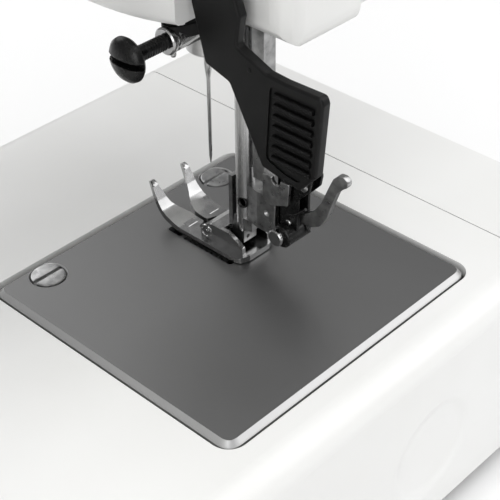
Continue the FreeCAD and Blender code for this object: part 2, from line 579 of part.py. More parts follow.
def bevel_gear(name, axis, at, teeth, radius, apex, bore, direction):
    """Straight-toothed bevel wheel. Its pitch cone has this radius at its back and its tip apex away."""
    cone = math.atan2(radius, apex)
    reach = 0.62
    tooth_height = 1.1
    blank_radius = radius - tooth_height
    core = Part.makeCone(blank_radius, blank_radius * reach, apex * (1 - reach), V(0, 0, 0),
                         V(0, 0, -direction))
    hub = Part.makeCylinder(bore + 2.5, 3, V(0, 0, 0), V(0, 0, direction))
    solid = core.fuse(hub)
    phase = 0.5 if direction < 0 else 0
    for i in range(teeth):
        turn = 360 * (i + phase) / teeth
        half = 0.26 * math.pi * radius / teeth
        corners = []
        for share in (1, reach):
            out = radius * share
            level = -direction * apex * (1 - share)
            top = tooth_height * 0.8 * share
            root, tip = out - tooth_height * 1.4 * share, out + top * math.cos(cone)
            for r, w in ((root, half * 1.2), (tip, half * 0.7)):
                corners.append([V(r, -w * share, level), V(r, w * share, level)])
        back = Part.makePolygon([corners[0][0], corners[0][1], corners[1][1], corners[1][0], corners[0][0]])
        front = Part.makePolygon([corners[2][0], corners[2][1], corners[3][1], corners[3][0], corners[2][0]])
        tooth = Part.makeLoft([back, front], True, True)
        tooth.rotate(V(0, 0, 0), V(0, 0, 1), turn)
        solid = solid.fuse(tooth)
    if bore > 0 and axis == "X":
        solid = solid.cut(Part.makeCylinder(bore, 60, V(0, 0, -30)))
    wheel = doc.addObject("Part::Feature", name)
    wheel.Shape = solid.removeSplitter()
    wheel.Placement = FreeCAD.Placement(V(*[size(c) for c in at]), AXIS_TURN[axis])
    return wheel


def make_bobbin():
    """Bobbin case with its centre post and latch, and the bobbin that spins on the post."""
    case = turned("case", "Y", (at_x(0), at_y(-16.5), "lower_z"),
                  [(0, 0), (0, 2.9), (11.9, 2.9), (11.9, 0)])
    shell = turned("case_shell", "Y", (at_x(0), at_y(-18.8), "lower_z"),
                   [(0, 0), (0, 14), (14.2, 14), (14.2, 12.4), (1.6, 12.4), (1.6, 2.9), (2.3, 2.9), (2.3, 0)])
    latch = box(span(at_x, -3, 12), span(at_y, -20, -18.8), ("lower_z - 4", "lower_z + 4"))
    thread_slot = box(span(at_x, -1, 1), span(at_y, -12, -3), ("lower_z + 10", "lower_z + 16"))
    node("bobbin_case", cut(fuse(case, shell, latch), thread_slot))
    node("bobbin", turned("bobbin_spool", "Y", (at_x(0), at_y(-16.8), "lower_z"),
                          [(0, 3), (0, 10.25), (1, 10.25), (1, 4.2), (10.7, 4.2), (10.7, 10.25),
                           (11.7, 10.25), (11.7, 3)]))


def make_feed():
    """Feed bar that travels to and fro, and the feed dogs that rise through the plate."""
    bar = box(span(at_x, -22, 24), span(at_y, 30, 36), ("53", "57"))
    arms = [box(span(at_x, x, x + 4), span(at_y, 15.5, 32), ("53", "57")) for x in (-11, 7)]
    node("feed_bar", fuse(bar, *arms))
    base = box(span(at_x, -8, 8), span(at_y, -6, 11.5), ("57.8", "60"))
    needle_gap = box(span(at_x, -4.5, 4.5), span(at_y, -8, 3), ("56", "62"))
    pieces = [cut(base, needle_gap)]
    pieces += [box(span(at_x, x, x + 2.2), span(at_y, -6, 11.5), ("59", "65.2")) for x in (-7.6, 5.4)]
    pieces.append(box(span(at_x, -1.5, 1.5), span(at_y, 6, 11.5), ("59", "65.2")))
    pieces += [box(span(at_x, x, x + 3.6), span(at_y, 8, 30), ("57.4", "59")) for x in (-7.9, 4.3)]
    ridges = [box(span(at_x, -9, 9), span(at_y, y, y + 0.7), ("64.6", "66")) for y in range(-6, 12, 2)]
    node("feed_dogs", cut(fuse(*pieces), *ridges))


def make_needle_bar():
    """Swinging needle bar frame, needle bar, clamp, clamp screw, needle and connecting rod."""
    strip = fuse(box(span(at_x, -6.5, 0.5), span(at_y, 4.8, 7.2), ("134", "swing_z")),
                 box(span(at_x, -6.5, 6), span(at_y, 4.8, 7.2), ("swing_z - 5", "swing_z + 6")))
    lugs = [box(span(at_x, -6, 6), span(at_y, -6, 6.2), (z, z + 10)) for z in (134, 236)]
    bores = [rod("Z", (NX, NY, "120"), "bar_radius + running", 160),
             rod("Y", (NX, at_y(0), "swing_z"), 2.55, 12)]
    node("needle_frame", cut(fuse(strip, *lugs), *bores))
    bar = rod("Z", (NX, NY, above(53)), "bar_radius", "278 - (plate_top + 53)")
    socket = rod("Z", (NX, NY, above(50)), 1.05, 12)
    side_hole = rod("X", (at_x(1.5), NY, above(60.5)), 2.1, 20)
    node("needle_bar", cut(bar, socket, side_hole))
    link = box(span(at_x, 7, 10), span(at_y, -4, 4), ("213", "264"))
    clamp = box(span(at_x, 3.2, 8), span(at_y, -4, 4), ("210", "218"))
    ring = rod("Z", (NX, NY, "210"), 4.5, 8)
    bar_bore = rod("Z", (NX, NY, "200"), "bar_radius", 80)
    node("connecting_rod", cut(fuse(link, clamp, ring), bar_bore))

    body = rod("Z", (NX, NY, above(53.4)), 5.2, 9)
    boss = rod("X", (NX, NY, above(60.5)), 3.4, 13.2)
    cap = box(span(at_x, -5, 9), span(at_y, -5, 5), (above(61.8), above(64.2)))
    nub = rod("Z", (at_x(11), NY, above(55.8)), 0.6, 3)
    node("needle_clamp", cut(fuse(body, boss, cap, nub),
                             rod("Z", (NX, NY, above(50)), "bar_radius", 20),
                             rod("X", (at_x(1), NY, above(60.5)), 2.05, 20)))
    screw = turned("screw", "X", (at_x(3.6), NY, above(60.5)),
                   [(0, 0), (0, 2), (19, 2), (19, 4.8), (20.4, 5.3), (22, 5.1), (24, 3.8), (25, 0)])
    slot = box(span(at_x, 26.4, 30), span(at_y, -6, 6), (above(59.6), above(61.4)))
    node("clamp_screw", cut(screw, slot))
    needle = turned("needle_blade", "Z", (NX, NY, above(20.9)),
                    [(0, 0), (2.2, 0.42), (24.5, 0.45), (28, 1.0), (38, 1.0), (38, 0)])
    eye = rod("Y", (NX, at_y(-2), above(25.4)), 0.2, 4)
    node("needle", cut(needle, eye))


def make_take_up():
    """Thread take-up lever with its eye. It works in the slot of the front casing."""
    outline = [(-16, 226), (-8, 226), (-6, 232), (-10, 238), (-52, 266), (-56, 264), (-56, 258), (-52, 256)]
    maker = Maker("take_up")
    maker.pad("YZ", [outline], at_x(-14.5), at_x(-12.5))
    maker.pocket("YZ", [(-53, 261, 1.6), (-11, 232, 2)], at_x(-16), at_x(-10))
    node("take_up_lever", maker.body)


def make_lifter():
    """Black moulded presser lifter: hub, long strip, offset paddle with finger ribs."""
    maker = Maker("lifter")

    def side(points):
        return [[(at_y(y), above(z)) for y, z in points]]

    strip = [(7.8, 134), (20.8, 134), (21.4, 66), (30.5, 62.8), (46, 62.6), (46.8, 60.8), (45.6, 41), (44, 39.4),
             (40.4, 36.6), (34.4, 37.4), (29, 39.2), (19, 56.6), (11.6, 58.6), (8.4, 66)]
    maker.pad("YZ", side(strip), at_x(9.7), at_x(12.3))
    ribs = [[(30, z), (43.5, z + 1), (43.5, z + 2.2), (30, z + 1.2)] for z in (42, 45.2, 48.4, 51.6, 54.8, 58)]
    for rib in ribs:
        maker.pad("YZ", side(rib), at_x(12.2), at_x(13.1))
    hub = rod("Y", (at_x("lifter_x"), at_y(9.6), "lifter_z"), 5, 11.9)
    lobe = box(span(at_x, "lifter_x", "lifter_x + 9.5"), span(at_y, 10, 17), ("lifter_z - 2", "lifter_z + 2"))
    bore = rod("Y", (at_x("lifter_x"), at_y(5), "lifter_z"), 2.05, 20)
    node("lifter_lever", cut(fuse(maker.body, hub, lobe), bore))


def make_presser():
    """Presser bar with its bracket, spring, rear rod, ankle, plates, foot and release lever."""
    bar_y = at_y("presser_y")
    node("presser_bar", rod("Z", (NX, bar_y, above(9)), "presser_radius", "251 - (plate_top + 9)"))
    clamp = cut(box(span(at_x, -5, 14), span(at_y, 9, 20.4), ("206", "212")),
                rod("Z", (NX, bar_y, "200"), "presser_radius", 12))
    node("bar_bracket", clamp)
    node("presser_spring", cut(rod("Z", (NX, bar_y, "212.3"), 4.6, 35.4),
                               rod("Z", (NX, bar_y, "200"), 3, 60)))
    node("guide_rod", box(span(at_x, -2, 2), span(at_y, 16.6, 20.2), (above(25), "206")))
    ankle = box(span(at_x, -4.4, 4.4), span(at_y, 9, 25.6), (above(11), above(25)))
    jaw = box(span(at_x, -4.4, 4.4), span(at_y, 7.6, 9.2), (above(9), above(27)))
    neck = box(span(at_x, -3.2, 3.2), span(at_y, 9, 14.5), (above(4), above(11.2)))
    tongue = box(span(at_x, -3.2, 3.2), span(at_y, 1.8, 12), (above(3.6), above(6.4)))
    node("ankle_block", cut(fuse(ankle, jaw, neck, tongue), rod("Z", (NX, bar_y, above(9)), "presser_radius", 30),
                            rod("X", (at_x(-8), at_y(3.2), above(4.9)), 0.9, 16)))
    maker = Maker("notched")
    face = [(22.4, 24.6), (24.4, 23.6), (31.4, 24.2), (31.4, 30.8), (29.6, 30.8), (28.8, 29.4), (27.4, 28.8),
            (26, 29.6), (25.4, 31), (22.4, 31)]
    maker.pad("YZ", [[(at_y(y), above(z)) for y, z in face]], at_x(4.5), at_x(5.5))
    node("notch_plate", maker.body)
    bracket = Maker("bracket")
    face = [(25.7, 14.5), (30.5, 14.5), (33, 19), (37, 26), (37, 34), (25.7, 34)]
    bracket.pad("YZ", [[(at_y(y), above(z)) for y, z in face]], at_x(-3.4), at_x(4.4))
    rivet = rod("X", (at_x(4.2), at_y(34.6), above(31)), 1.4, 0.9)
    bracket_space = fuse(box(span(at_x, -1.1, 1.1), span(at_y, 26.7, 40), (above(10), above(33))),
                         box(span(at_x, -1.1, 1.1), span(at_y, 34.5, 40), (above(10), above(40))))
    axle_seat = rod("X", (at_x(-5), at_y(29.2), above(18)), 0.8, 12)
    node("spring_bracket", cut(fuse(bracket.body, rivet), bracket_space, axle_seat))

    lever = Maker("release")
    face = [(27.1, 15.4), (29.9, 15.6), (33, 17.1), (36.6, 21.9), (39.6, 30.6), (41.2, 32.6), (43, 33.6), (42.4, 35),
            (40.6, 35), (39, 33), (36.5, 24.9), (33.8, 21.4), (30.4, 20.9), (27.6, 19.6)]
    lever.pad("YZ", [[(at_y(y), above(z)) for y, z in face]], at_x(-0.7), at_x(0.7))
    axle_hole = rod("X", (at_x(-2), at_y(29.2), above(18)), 0.85, 4)
    node("release_lever", cut(lever.body, axle_hole))
    axle = rod("X", (at_x(-3.6), at_y(29.2), above(18)), 0.8, 7.4)
    head_pin = rod("X", (at_x(4.4), at_y(26.4), above(14)), 1.85, 1.8)
    head_arm = box(span(at_x, 4.4, 5.4), span(at_y, 24, 28), (above(12.4), above(18)))
    foot_pin = rod("X", (at_x(-5.8), at_y(3.2), above(4.9)), 0.9, 11.6)
    node("ankle_pins", group(axle, fuse(head_pin, head_arm), foot_pin))

    foot = Maker("foot")
    sole = [(16.4, 0), (16.4, 1.8), (-6, 1.8), (-10.5, 3), (-13.8, 5.4), (-16, 9), (-17.2, 8.6), (-15.4, 4),
            (-12, 1.3), (-7.4, 0)]
    foot.pad("YZ", [[(at_y(y), above(z + 0.4)) for y, z in sole]], at_x(-7.2), at_x(7.2))
    toe_gap = [(at_x(x), at_y(y)) for x, y in ((-2.4, -20), (2.4, -20), (2.2, -4), (-2.2, -4))]
    slot = [(at_x(x), at_y(y)) for x, y in ((-3.6, -2), (3.6, -2), (3.6, 1.4), (-3.6, 1.4))]
    foot.pocket("XY", [toe_gap, slot], above(-2), above(12))
    lugs = [box(span(at_x, x, x + 1.6), span(at_y, 1.2, 15.5), (above(1.8), above(7.4))) for x in (-5.4, 3.8)]
    pin_bore = rod("X", (at_x(-8), at_y(3.2), above(4.9)), 0.95, 16)
    node("presser_foot", cut(fuse(foot.body, *lugs), pin_bore))


# ---------------------------------------------------------------- controls

def make_controls():
    """Dials, reverse lever, switch, bobbin winder spindle, spool pin, lamp and mains inlet."""
    for name, x, z, radius, depth in (("tension_dial", at_x(3), "222", 13, 9), ("pattern_dial", "110", "150", 25, 10),
                                      ("length_dial", "110", "222", 15, 9)):
        knob = turned(name, "Y", (x, "arm_front - 0.5 - %s" % depth, z),
                      [(0, 0), (0, radius - 2), (1, radius - 1), (depth, radius), (depth, 3), (depth + 8, 3),
                       (depth + 8, 0)])
        node(name, knob)
    plate_part = box(("100", "120"), ("arm_front - 1.5", "arm_front + 6"), ("97", "111"))
    paddle = box(("101", "119"), ("arm_front - 12", "arm_front - 1"), ("101", "107"))
    hub = rod("X", ("102", "arm_front + 8", "104"), 4, 16)
    node("reverse_lever", fuse(plate_part, paddle, hub))
    rocker = fuse(box(("pillar_right - 3", "pillar_right + 1.2"), ("-31.5", "-18.5"), ("91", "109")),
                  rod("Y", ("pillar_right - 3", "-31.5", "100"), 3, 13))
    node("power_switch", rocker)
    node("winder_spindle", turned("winder", "Z", ("132", "-14", "arm_top - 20"),
                                  [(0, 0), (0, 9), (6, 9), (6, 4), (21, 4), (21, 9), (22.5, 9), (22.5, 2.95),
                                   (28, 2.95), (29, 2), (29, 0)]))
    node("spool_pin", turned("spool", "Z", ("110", "24", "240"),
                             [(0, 0), (0, 4), (3, 4), (3, 2.5), (52, 2.5), (53, 1.5), (53, 0)]))
    socket = cut(box(("bed_right - 22", "bed_right - 0.5"), ("20", "50"), ("20", "42")),
                 box(("bed_right - 16", "bed_right + 1"), ("24", "46"), ("24", "38")))
    pins = [rod("X", ("bed_right - 17", y, "31"), 1.6, 13) for y in ("29", "41")]
    node("power_inlet", fuse(socket, *pins))
    lamp = turned("lamp", "Z", (at_x(-31), at_y(8), "150"), [(0, 0), (3, 5), (8, 8), (16, 8), (24, 5), (24, 0)])
    holder = fuse(rod("Z", (at_x(-31), at_y(8), "174"), 6, 14),
                  box(span(at_x, -33, -12), span(at_y, 6, 26), ("186", "189")))
    node("lamp", fuse(lamp, holder))


def write_parts():
    """Recomputes, checks every object and writes one STEP file a node."""
    doc.recompute()
    for thing in doc.Objects:
        if "Invalid" in thing.State or "Error" in thing.State:
            raise RuntimeError("%s (%s) failed" % (thing.Name, thing.Label))
    os.makedirs("parts", exist_ok=True)
    for label, thing in nodes.items():
        shape = thing.Shape
        if shape.isNull() or not shape.isValid():
            raise RuntimeError("%s has no valid shape" % label)
        shape.exportStep("parts/%s.step" % label)
    print("%d nodes written" % len(nodes))


for make in (make_bed, make_plate, make_bed_frame, make_front_casing, make_rear_casing, make_face_cover,
             make_handle, make_arm_frame, make_main_shaft, make_motor, make_lower_drive, make_bobbin, make_feed,
             make_needle_bar, make_take_up, make_lifter, make_presser, make_controls):
    make()
write_parts()
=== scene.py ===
"""Looks of a domestic zigzag sewing machine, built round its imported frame.

Lengths in the tables are millimetres. at(x, y, z) measures them from the needle's place on the
stitch plate: x to the user's right, y to the back, z up. Finished meshes are in metres.
"""
import json
import math

import bmesh
import bpy
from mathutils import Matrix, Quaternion, Vector


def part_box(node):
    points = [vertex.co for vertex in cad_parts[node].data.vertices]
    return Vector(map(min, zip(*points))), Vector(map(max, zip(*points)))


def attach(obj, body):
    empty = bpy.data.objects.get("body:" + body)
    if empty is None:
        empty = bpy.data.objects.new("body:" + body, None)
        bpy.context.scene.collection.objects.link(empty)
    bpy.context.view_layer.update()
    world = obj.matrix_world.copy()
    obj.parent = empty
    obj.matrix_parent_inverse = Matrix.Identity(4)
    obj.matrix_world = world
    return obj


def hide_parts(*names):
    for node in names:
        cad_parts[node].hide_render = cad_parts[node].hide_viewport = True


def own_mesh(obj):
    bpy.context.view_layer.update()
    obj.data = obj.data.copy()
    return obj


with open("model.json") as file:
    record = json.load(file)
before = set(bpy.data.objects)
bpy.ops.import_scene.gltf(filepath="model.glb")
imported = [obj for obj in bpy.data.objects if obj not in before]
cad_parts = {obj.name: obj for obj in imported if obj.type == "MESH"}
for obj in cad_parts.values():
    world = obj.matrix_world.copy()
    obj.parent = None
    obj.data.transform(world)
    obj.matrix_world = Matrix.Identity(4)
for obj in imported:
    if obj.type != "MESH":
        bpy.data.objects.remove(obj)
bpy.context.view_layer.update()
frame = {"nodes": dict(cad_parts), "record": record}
nodes = frame["nodes"]
MM = 0.001

needle_low, needle_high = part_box("needle")
NEEDLE_X = (needle_low[0] + needle_high[0]) / 2
NEEDLE_Y = (needle_low[1] + needle_high[1]) / 2
PLATE_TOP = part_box("needle_plate")[1][2]


def at(x, y, z):
    """A point in metres from millimetres right of, behind and above the needle's place."""
    return Vector((NEEDLE_X + x * MM, NEEDLE_Y + y * MM, PLATE_TOP + z * MM))


# Places that several pieces share, measured as at() measures.
BAR_Y = 12.3                    # presser bar
CLAMP_Z = 60.5                  # clamp screw
MAIN_SHAFT_Z = 179.6            # main shaft and handwheel
LIFTER_PIVOT = (9, 0, 133.6)
DIAL_X, HIGH_DIAL_Z, LOW_DIAL_Z = 231.6, 155.6, 83.6
NEAR = 0.1                      # how near an edge lies to a face that it belongs to


# ---------------------------------------------------------------- materials

def linear(code):
    """An sRGB hex colour as linear RGBA."""
    parts = [int(code[i:i + 2], 16) / 255 for i in (1, 3, 5)]
    return (*[c / 12.92 if c <= 0.04045 else ((c + 0.055) / 1.055) ** 2.4 for c in parts], 1.0)


def add(tree, kind, inputs=None, **settings):
    """Adds a node with its settings; each input takes a value or a link from another node's output."""
    new = tree.nodes.new(kind)
    for name, value in settings.items():
        setattr(new, name, value)
    for name, value in (inputs or {}).items():
        if isinstance(value, bpy.types.NodeSocket):
            tree.links.new(value, new.inputs[name])
        else:
            new.inputs[name].default_value = value
    return new


class Finish:
    """A material with one shader, whose patterns read object coordinates in metres."""

    def __init__(self, name, colour, roughness, metallic=0.0, **shader_inputs):
        self.material = bpy.data.materials.new(name)
        self.material.use_nodes = True
        self.tree = self.material.node_tree
        self.tree.nodes.clear()
        values = {"Base Color": linear(colour), "Roughness": roughness, "Metallic": metallic}
        values.update({key.replace("_", " "): value for key, value in shader_inputs.items()})
        self.shader = add(self.tree, "ShaderNodeBsdfPrincipled", values)
        add(self.tree, "ShaderNodeOutputMaterial", {"Surface": self.shader.outputs[0]})
        self.coords = add(self.tree, "ShaderNodeTexCoord").outputs["Object"]
        self.normal = None

    def noise(self, grain_mm, stretch=(1, 1, 1), detail=3.0):
        """Noise whose grains are about this many millimetres across, drawn out by stretch."""
        scale = [1 / (grain_mm * MM * s) for s in stretch]
        mapped = add(self.tree, "ShaderNodeMapping", {"Vector": self.coords, "Scale": scale})
        return add(self.tree, "ShaderNodeTexNoise", {"Vector": mapped.outputs[0], "Scale": 1.0,
                                                     "Detail": detail}).outputs["Fac"]

    def colour(self, pattern, dark, light, low=0.35, high=0.65):
        """Base colour that goes from dark to light with the pattern."""
        ramp = add(self.tree, "ShaderNodeValToRGB", {"Fac": pattern})
        for stop, place, code in zip(ramp.color_ramp.elements, (low, high), (dark, light)):
            stop.position, stop.color = place, linear(code)
        self.tree.links.new(ramp.outputs["Color"], self.shader.inputs["Base Color"])
        return self

    def roughness(self, pattern, low, high):
        """Roughness that varies with the pattern."""
        span = add(self.tree, "ShaderNodeMapRange", {"Value": pattern, "From Min": 0.3, "From Max": 0.7,
                                                     "To Min": low, "To Max": high})
        self.tree.links.new(span.outputs["Result"], self.shader.inputs["Roughness"])
        return self

    def bump(self, pattern, depth_mm, strength=1.0):
        """Adds relief of this depth on top of any relief before it."""
        inputs = {"Height": pattern, "Distance": depth_mm * MM, "Strength": strength}
        if self.normal is not None:
            inputs["Normal"] = self.normal
        self.normal = add(self.tree, "ShaderNodeBump", inputs).outputs["Normal"]
        for link in list(self.shader.inputs["Normal"].links):
            self.tree.links.remove(link)
        self.tree.links.new(self.normal, self.shader.inputs["Normal"])
        return self


def moulded_abs():
    """White injection-moulded ABS: a soft gloss, a hint of orange peel and a very slight warm mottling."""
    made = Finish("moulded_abs_white", "#E6E6E4", 0.3, IOR=1.54)
    made.colour(made.noise(90), "#E2E2E0", "#E9E9E8")
    made.roughness(made.noise(30), 0.29, 0.36)
    return made.bump(made.noise(1.6), 0.003).material


def moulded_black():
    """Black moulded polyamide with a spark-eroded grain, which breaks highlights into a satin sheen."""
    made = Finish("moulded_black_polyamide", "#070707", 0.42, Specular_IOR_Level=0.22)
    made.colour(made.noise(9), "#050505", "#090909")
    made.roughness(made.noise(5), 0.38, 0.5)
    return made.bump(made.noise(0.4), 0.012).material


def grey_moulding():
    """Grey polypropylene of the base cover and the belt wheels: matt, with faint flow lines."""
    made = Finish("moulded_grey_polypropylene", "#6E6F70", 0.55)
    made.colour(made.noise(8, (4, 1, 1)), "#67686A", "#747576")
    return made.roughness(made.noise(4), 0.48, 0.62).bump(made.noise(0.5), 0.02).material


def moulded_rubber(name, grain_mm):
    """Black rubber: no gloss, a dusty bloom and a coarse skin."""
    made = Finish(name, "#1D1D1D", 0.85)
    made.colour(made.noise(5), "#191919", "#262626")
    return made.roughness(made.noise(2), 0.75, 0.92).bump(made.noise(grain_mm), 0.05).material


def polished_nickel():
    """Polished nickel-chrome plate: sharp reflections, dulled here and there by handling."""
    made = Finish("polished_nickel_chrome", "#A9A9A9", 0.12, 1.0)
    made.colour(made.noise(7), "#9A9A9A", "#B2B2B2")
    made.roughness(made.noise(3.5), 0.09, 0.2)
    return made.bump(made.noise(2.5), 0.002).material


def bar_plate():
    """Nickel-plated bar stock: drawn lines along the bar's length under the plating."""
    made = Finish("nickel_plated_bar", "#BEBEBE", 0.22, 1.0)
    made.colour(made.noise(0.5, (1, 1, 60)), "#A6A6A6", "#C8C8C8")
    made.roughness(made.noise(2, (1, 1, 8)), 0.17, 0.3)
    return made.bump(made.noise(0.25, (1, 1, 80)), 0.004).material


def ground_steel():
    """Ground and tumbled steel sheet: satin, with a scatter of fine marks."""
    made = Finish("ground_steel", "#9C9C9B", 0.32, 1.0)
    made.colour(made.noise(2.4), "#868686", "#A8A8A8")
    made.roughness(made.noise(1.5), 0.26, 0.38)
    return made.bump(made.noise(0.3, (1, 1, 12)), 0.0015).material


def stitch_plate_steel():
    """Stainless plate with a fine ground satin face, dark and even, and a milled chamfer; the chamfer and
    other steep faces carry a painted highlight, lighter the more they tilt.
    """
    made = Finish("satin_stainless_plate", "#8A8A8A", 0.42, 1.0)
    surface = add(made.tree, "ShaderNodeTexCoord").outputs["Normal"]
    slope_for_painted_highlight = add(made.tree, "ShaderNodeSeparateXYZ", {"Vector": surface}).outputs["Z"]
    # painted highlight: faces tilted away from upright (the chamfer, slot walls and screw recess walls) are
    # coloured lighter, #C4C4C4, than the flat face, #7E7E7E
    made.colour(slope_for_painted_highlight, "#C4C4C4", "#7E7E7E", 0.85, 0.97)
    made.roughness(made.noise(40), 0.44, 0.48)
    return made.bump(made.noise(0.35, (1, 40, 1)), 0.002).material


def blackened_steel():
    """Black-oxide steel of the clamp screw and spring bracket: oily black with a low metal gloss."""
    made = Finish("black_oxide_steel", "#1A1A1A", 0.3, 0.6)
    made.colour(made.noise(2), "#101010", "#222222")
    return made.roughness(made.noise(1.2), 0.22, 0.4).bump(made.noise(0.3), 0.006).material


def cast_aluminium():
    """Die-cast aluminium frame: pale, rough-skinned, with slight flow marks."""
    made = Finish("die_cast_aluminium", "#B4B5B6", 0.5, 1.0)
    made.colour(made.noise(11), "#A2A3A5", "#BFC0C1")
    return made.roughness(made.noise(3), 0.42, 0.6).bump(made.noise(0.9), 0.04).material


def sintered_bronze():
    """Oil-filled sintered bronze bushes: dull brown-gold with open pores."""
    made = Finish("sintered_bronze", "#A8824E", 0.5, 1.0)
    made.colour(made.noise(0.8), "#8E6C3E", "#B08A54")
    return made.roughness(made.noise(1.2), 0.42, 0.58).bump(made.noise(0.4), 0.02).material


def clear_bobbin():
    """Clear moulded polycarbonate bobbin."""
    made = Finish("clear_polycarbonate", "#EEF1F3", 0.08, IOR=1.58, Transmission_Weight=0.9)
    return made.roughness(made.noise(3), 0.05, 0.14).material


def lamp_glass():
    """Thin clear glass of the sewing lamp."""
    made = Finish("clear_lamp_glass", "#F6F6F2", 0.04, IOR=1.5, Transmission_Weight=0.95)
    return made.roughness(made.noise(6), 0.03, 0.08).material


FINISHES = {
    "white_abs": moulded_abs(), "grey_plastic": grey_moulding(), "black_plastic": moulded_black(),
    "foot_rubber": moulded_rubber("moulded_foot_rubber", 0.8),
    "belt_rubber": moulded_rubber("belt_rubber", 0.4),
    "plate_steel": stitch_plate_steel(), "cast_aluminium": cast_aluminium(),
    "sintered_bronze": sintered_bronze(), "ground_steel": ground_steel(), "nickel_chrome": polished_nickel(),
    "blackened_steel": blackened_steel(), "clear_bobbin": clear_bobbin(), "lamp_glass": lamp_glass(),
}
BAR_PLATE = bar_plate()
for entry in frame["record"]["subparts"]:
    cad_mesh = nodes[entry["node"]].data
    cad_mesh.materials.clear()
    cad_mesh.materials.append(FINISHES[entry["material_slot"]])


# ---------------------------------------------------------------- shapes

def curved(points, radius=0, steps=4):
    """A closed outline with its corners rounded by up to this radius, or by a corner's own third value."""
    result = []
    count = len(points)
    own = [point[2] if len(point) > 2 else radius for point in points]
    points = [point[:2] for point in points]
    for i, corner in enumerate(points):
        here = Vector(corner)
        radius = own[i]
        if radius == 0:
            result.append(tuple(corner))
            continue
        before, after = Vector(points[i - 1]) - here, Vector(points[(i + 1) % count]) - here
        room = min(before.length, after.length) / 2
        half_angle = before.angle(after) / 2
        reach = min(radius / max(math.tan(half_angle), 1e-6), room)
        start, end = here + before.normalized() * reach, here + after.normalized() * reach
        for step in range(steps + 1):
            t = step / steps
            result.append(tuple((start.lerp(here, t)).lerp(here.lerp(end, t), t)))
    return result


def mesh_object(name, shape):
    """A bmesh as an object at the origin."""
    bmesh.ops.remove_doubles(shape, verts=shape.verts, dist=1e-7)
    bmesh.ops.recalc_face_normals(shape, faces=shape.faces)
    mesh = bpy.data.meshes.new(name)
    shape.to_mesh(mesh)
    shape.free()
    thing = bpy.data.objects.new(name, mesh)
    bpy.context.scene.collection.objects.link(thing)
    return thing


def prism(name, axis, outline, low, high):
    """An outline extruded between two levels: (y, z) along X, (x, z) along Y, (x, y) along Z."""
    def spot(point, level):
        a, b = point
        return at(*{"X": (level, a, b), "Y": (a, level, b), "Z": (a, b, level)}[axis])

    shape = bmesh.new()
    rings = [[shape.verts.new(spot(p, level)) for p in outline] for level in (low, high)]
    shape.faces.new(rings[0])
    shape.faces.new(list(reversed(rings[1])))
    for i in range(len(outline)):
        j = (i + 1) % len(outline)
        shape.faces.new((rings[0][i], rings[1][i], rings[1][j], rings[0][j]))
    return mesh_object(name, shape)


def slab(name, x, y, z):
    """A rectangular block between two levels on each axis."""
    return prism(name, "Z", [(x[0], y[0]), (x[1], y[0]), (x[1], y[1]), (x[0], y[1])], *z)


def lathe(name, axis, centre, profile, steps=48):
    """A profile of (distance along the axis, radius) pairs spun about an axis through centre."""
    shape = bmesh.new()
    rings = []
    for along, radius in profile:
        ring = []
        for i in range(steps if radius > 0 else 1):
            turn = 2 * math.pi * i / steps
            a, b = radius * math.cos(turn), radius * math.sin(turn)
            offset = {"X": (along, a, b), "Y": (a, along, b), "Z": (a, b, along)}[axis]
            ring.append(shape.verts.new(at(*[c + o for c, o in zip(centre, offset)])))
        rings.append(ring)
    for low, high in zip(rings, rings[1:]):
        for i in range(steps):
            j = (i + 1) % steps
            corners = [low[i % len(low)], low[j % len(low)], high[j % len(high)], high[i % len(high)]]
            unique = list(dict.fromkeys(corners))
            if len(unique) > 2:
                shape.faces.new(unique)
    for ring in (rings[0], rings[-1]):
        if len(ring) > 1:
            shape.faces.new(ring)
    return mesh_object(name, shape)


def rod(name, axis, centre, radius, start, end, steps=48):
    """A plain cylinder about an axis through centre, between two distances along it."""
    return lathe(name, axis, centre, [(start, 0), (start, radius), (end, radius), (end, 0)], steps)


def settle(thing):
    """Applies an object's modifiers and leaves a plain mesh."""
    bpy.context.view_layer.update()
    graph = bpy.context.evaluated_depsgraph_get()
    made = bpy.data.meshes.new_from_object(thing.evaluated_get(graph))
    thing.modifiers.clear()
    thing.data = made
    return thing


def combine(thing, operation, *others):
    """Joins, cuts or intersects solids."""
    for other in others:
        change = thing.modifiers.new(operation.lower(), "BOOLEAN")
        change.operation, change.solver, change.object = operation, "EXACT", other
    settle(thing)
    for other in others:
        bpy.data.objects.remove(other)
    return thing


def soften(thing, width, segments=3, angle=30):
    """Rounds the edges sharper than angle by width millimetres."""
    edge = thing.modifiers.new("edges", "BEVEL")
    edge.width, edge.segments, edge.limit_method = width * MM, segments, "ANGLE"
    edge.angle_limit = math.radians(angle)
    edge.use_clamp_overlap = True
    return settle(thing)


def round_edges(thing, radius_of, segments=6):
    """Rounds each edge by radius_of(x, y, z) of its middle, in millimetres from the needle's place."""
    mesh = thing.data
    radii = []
    for edge in mesh.edges:
        middle = (mesh.vertices[edge.vertices[0]].co + mesh.vertices[edge.vertices[1]].co) / 2
        radii.append(radius_of(*[c / MM for c in middle - at(0, 0, 0)]))
    widest = max(radii)
    weights = mesh.attributes.new("bevel_weight_edge", "FLOAT", "EDGE")
    for i, radius in enumerate(radii):
        weights.data[i].value = radius / widest
    edge = thing.modifiers.new("edges", "BEVEL")
    edge.width, edge.segments, edge.limit_method = widest * MM, segments, "WEIGHT"
    edge.use_clamp_overlap = True
    return settle(thing)


def bent(thing, levels, rule):
    """Slices a solid across Y at some levels and lifts its points by rule(x, y, z) millimetres."""
    shape = bmesh.new()
    shape.from_mesh(thing.data)
    for level in levels:
        everything = shape.verts[:] + shape.edges[:] + shape.faces[:]
        bmesh.ops.bisect_plane(shape, geom=everything, plane_co=at(0, level, 0), plane_no=(0, 1, 0))
    for point in shape.verts:
        point.co.z += rule(*[c / MM for c in point.co - at(0, 0, 0)]) * MM
    shape.to_mesh(thing.data)
    shape.free()
    return thing


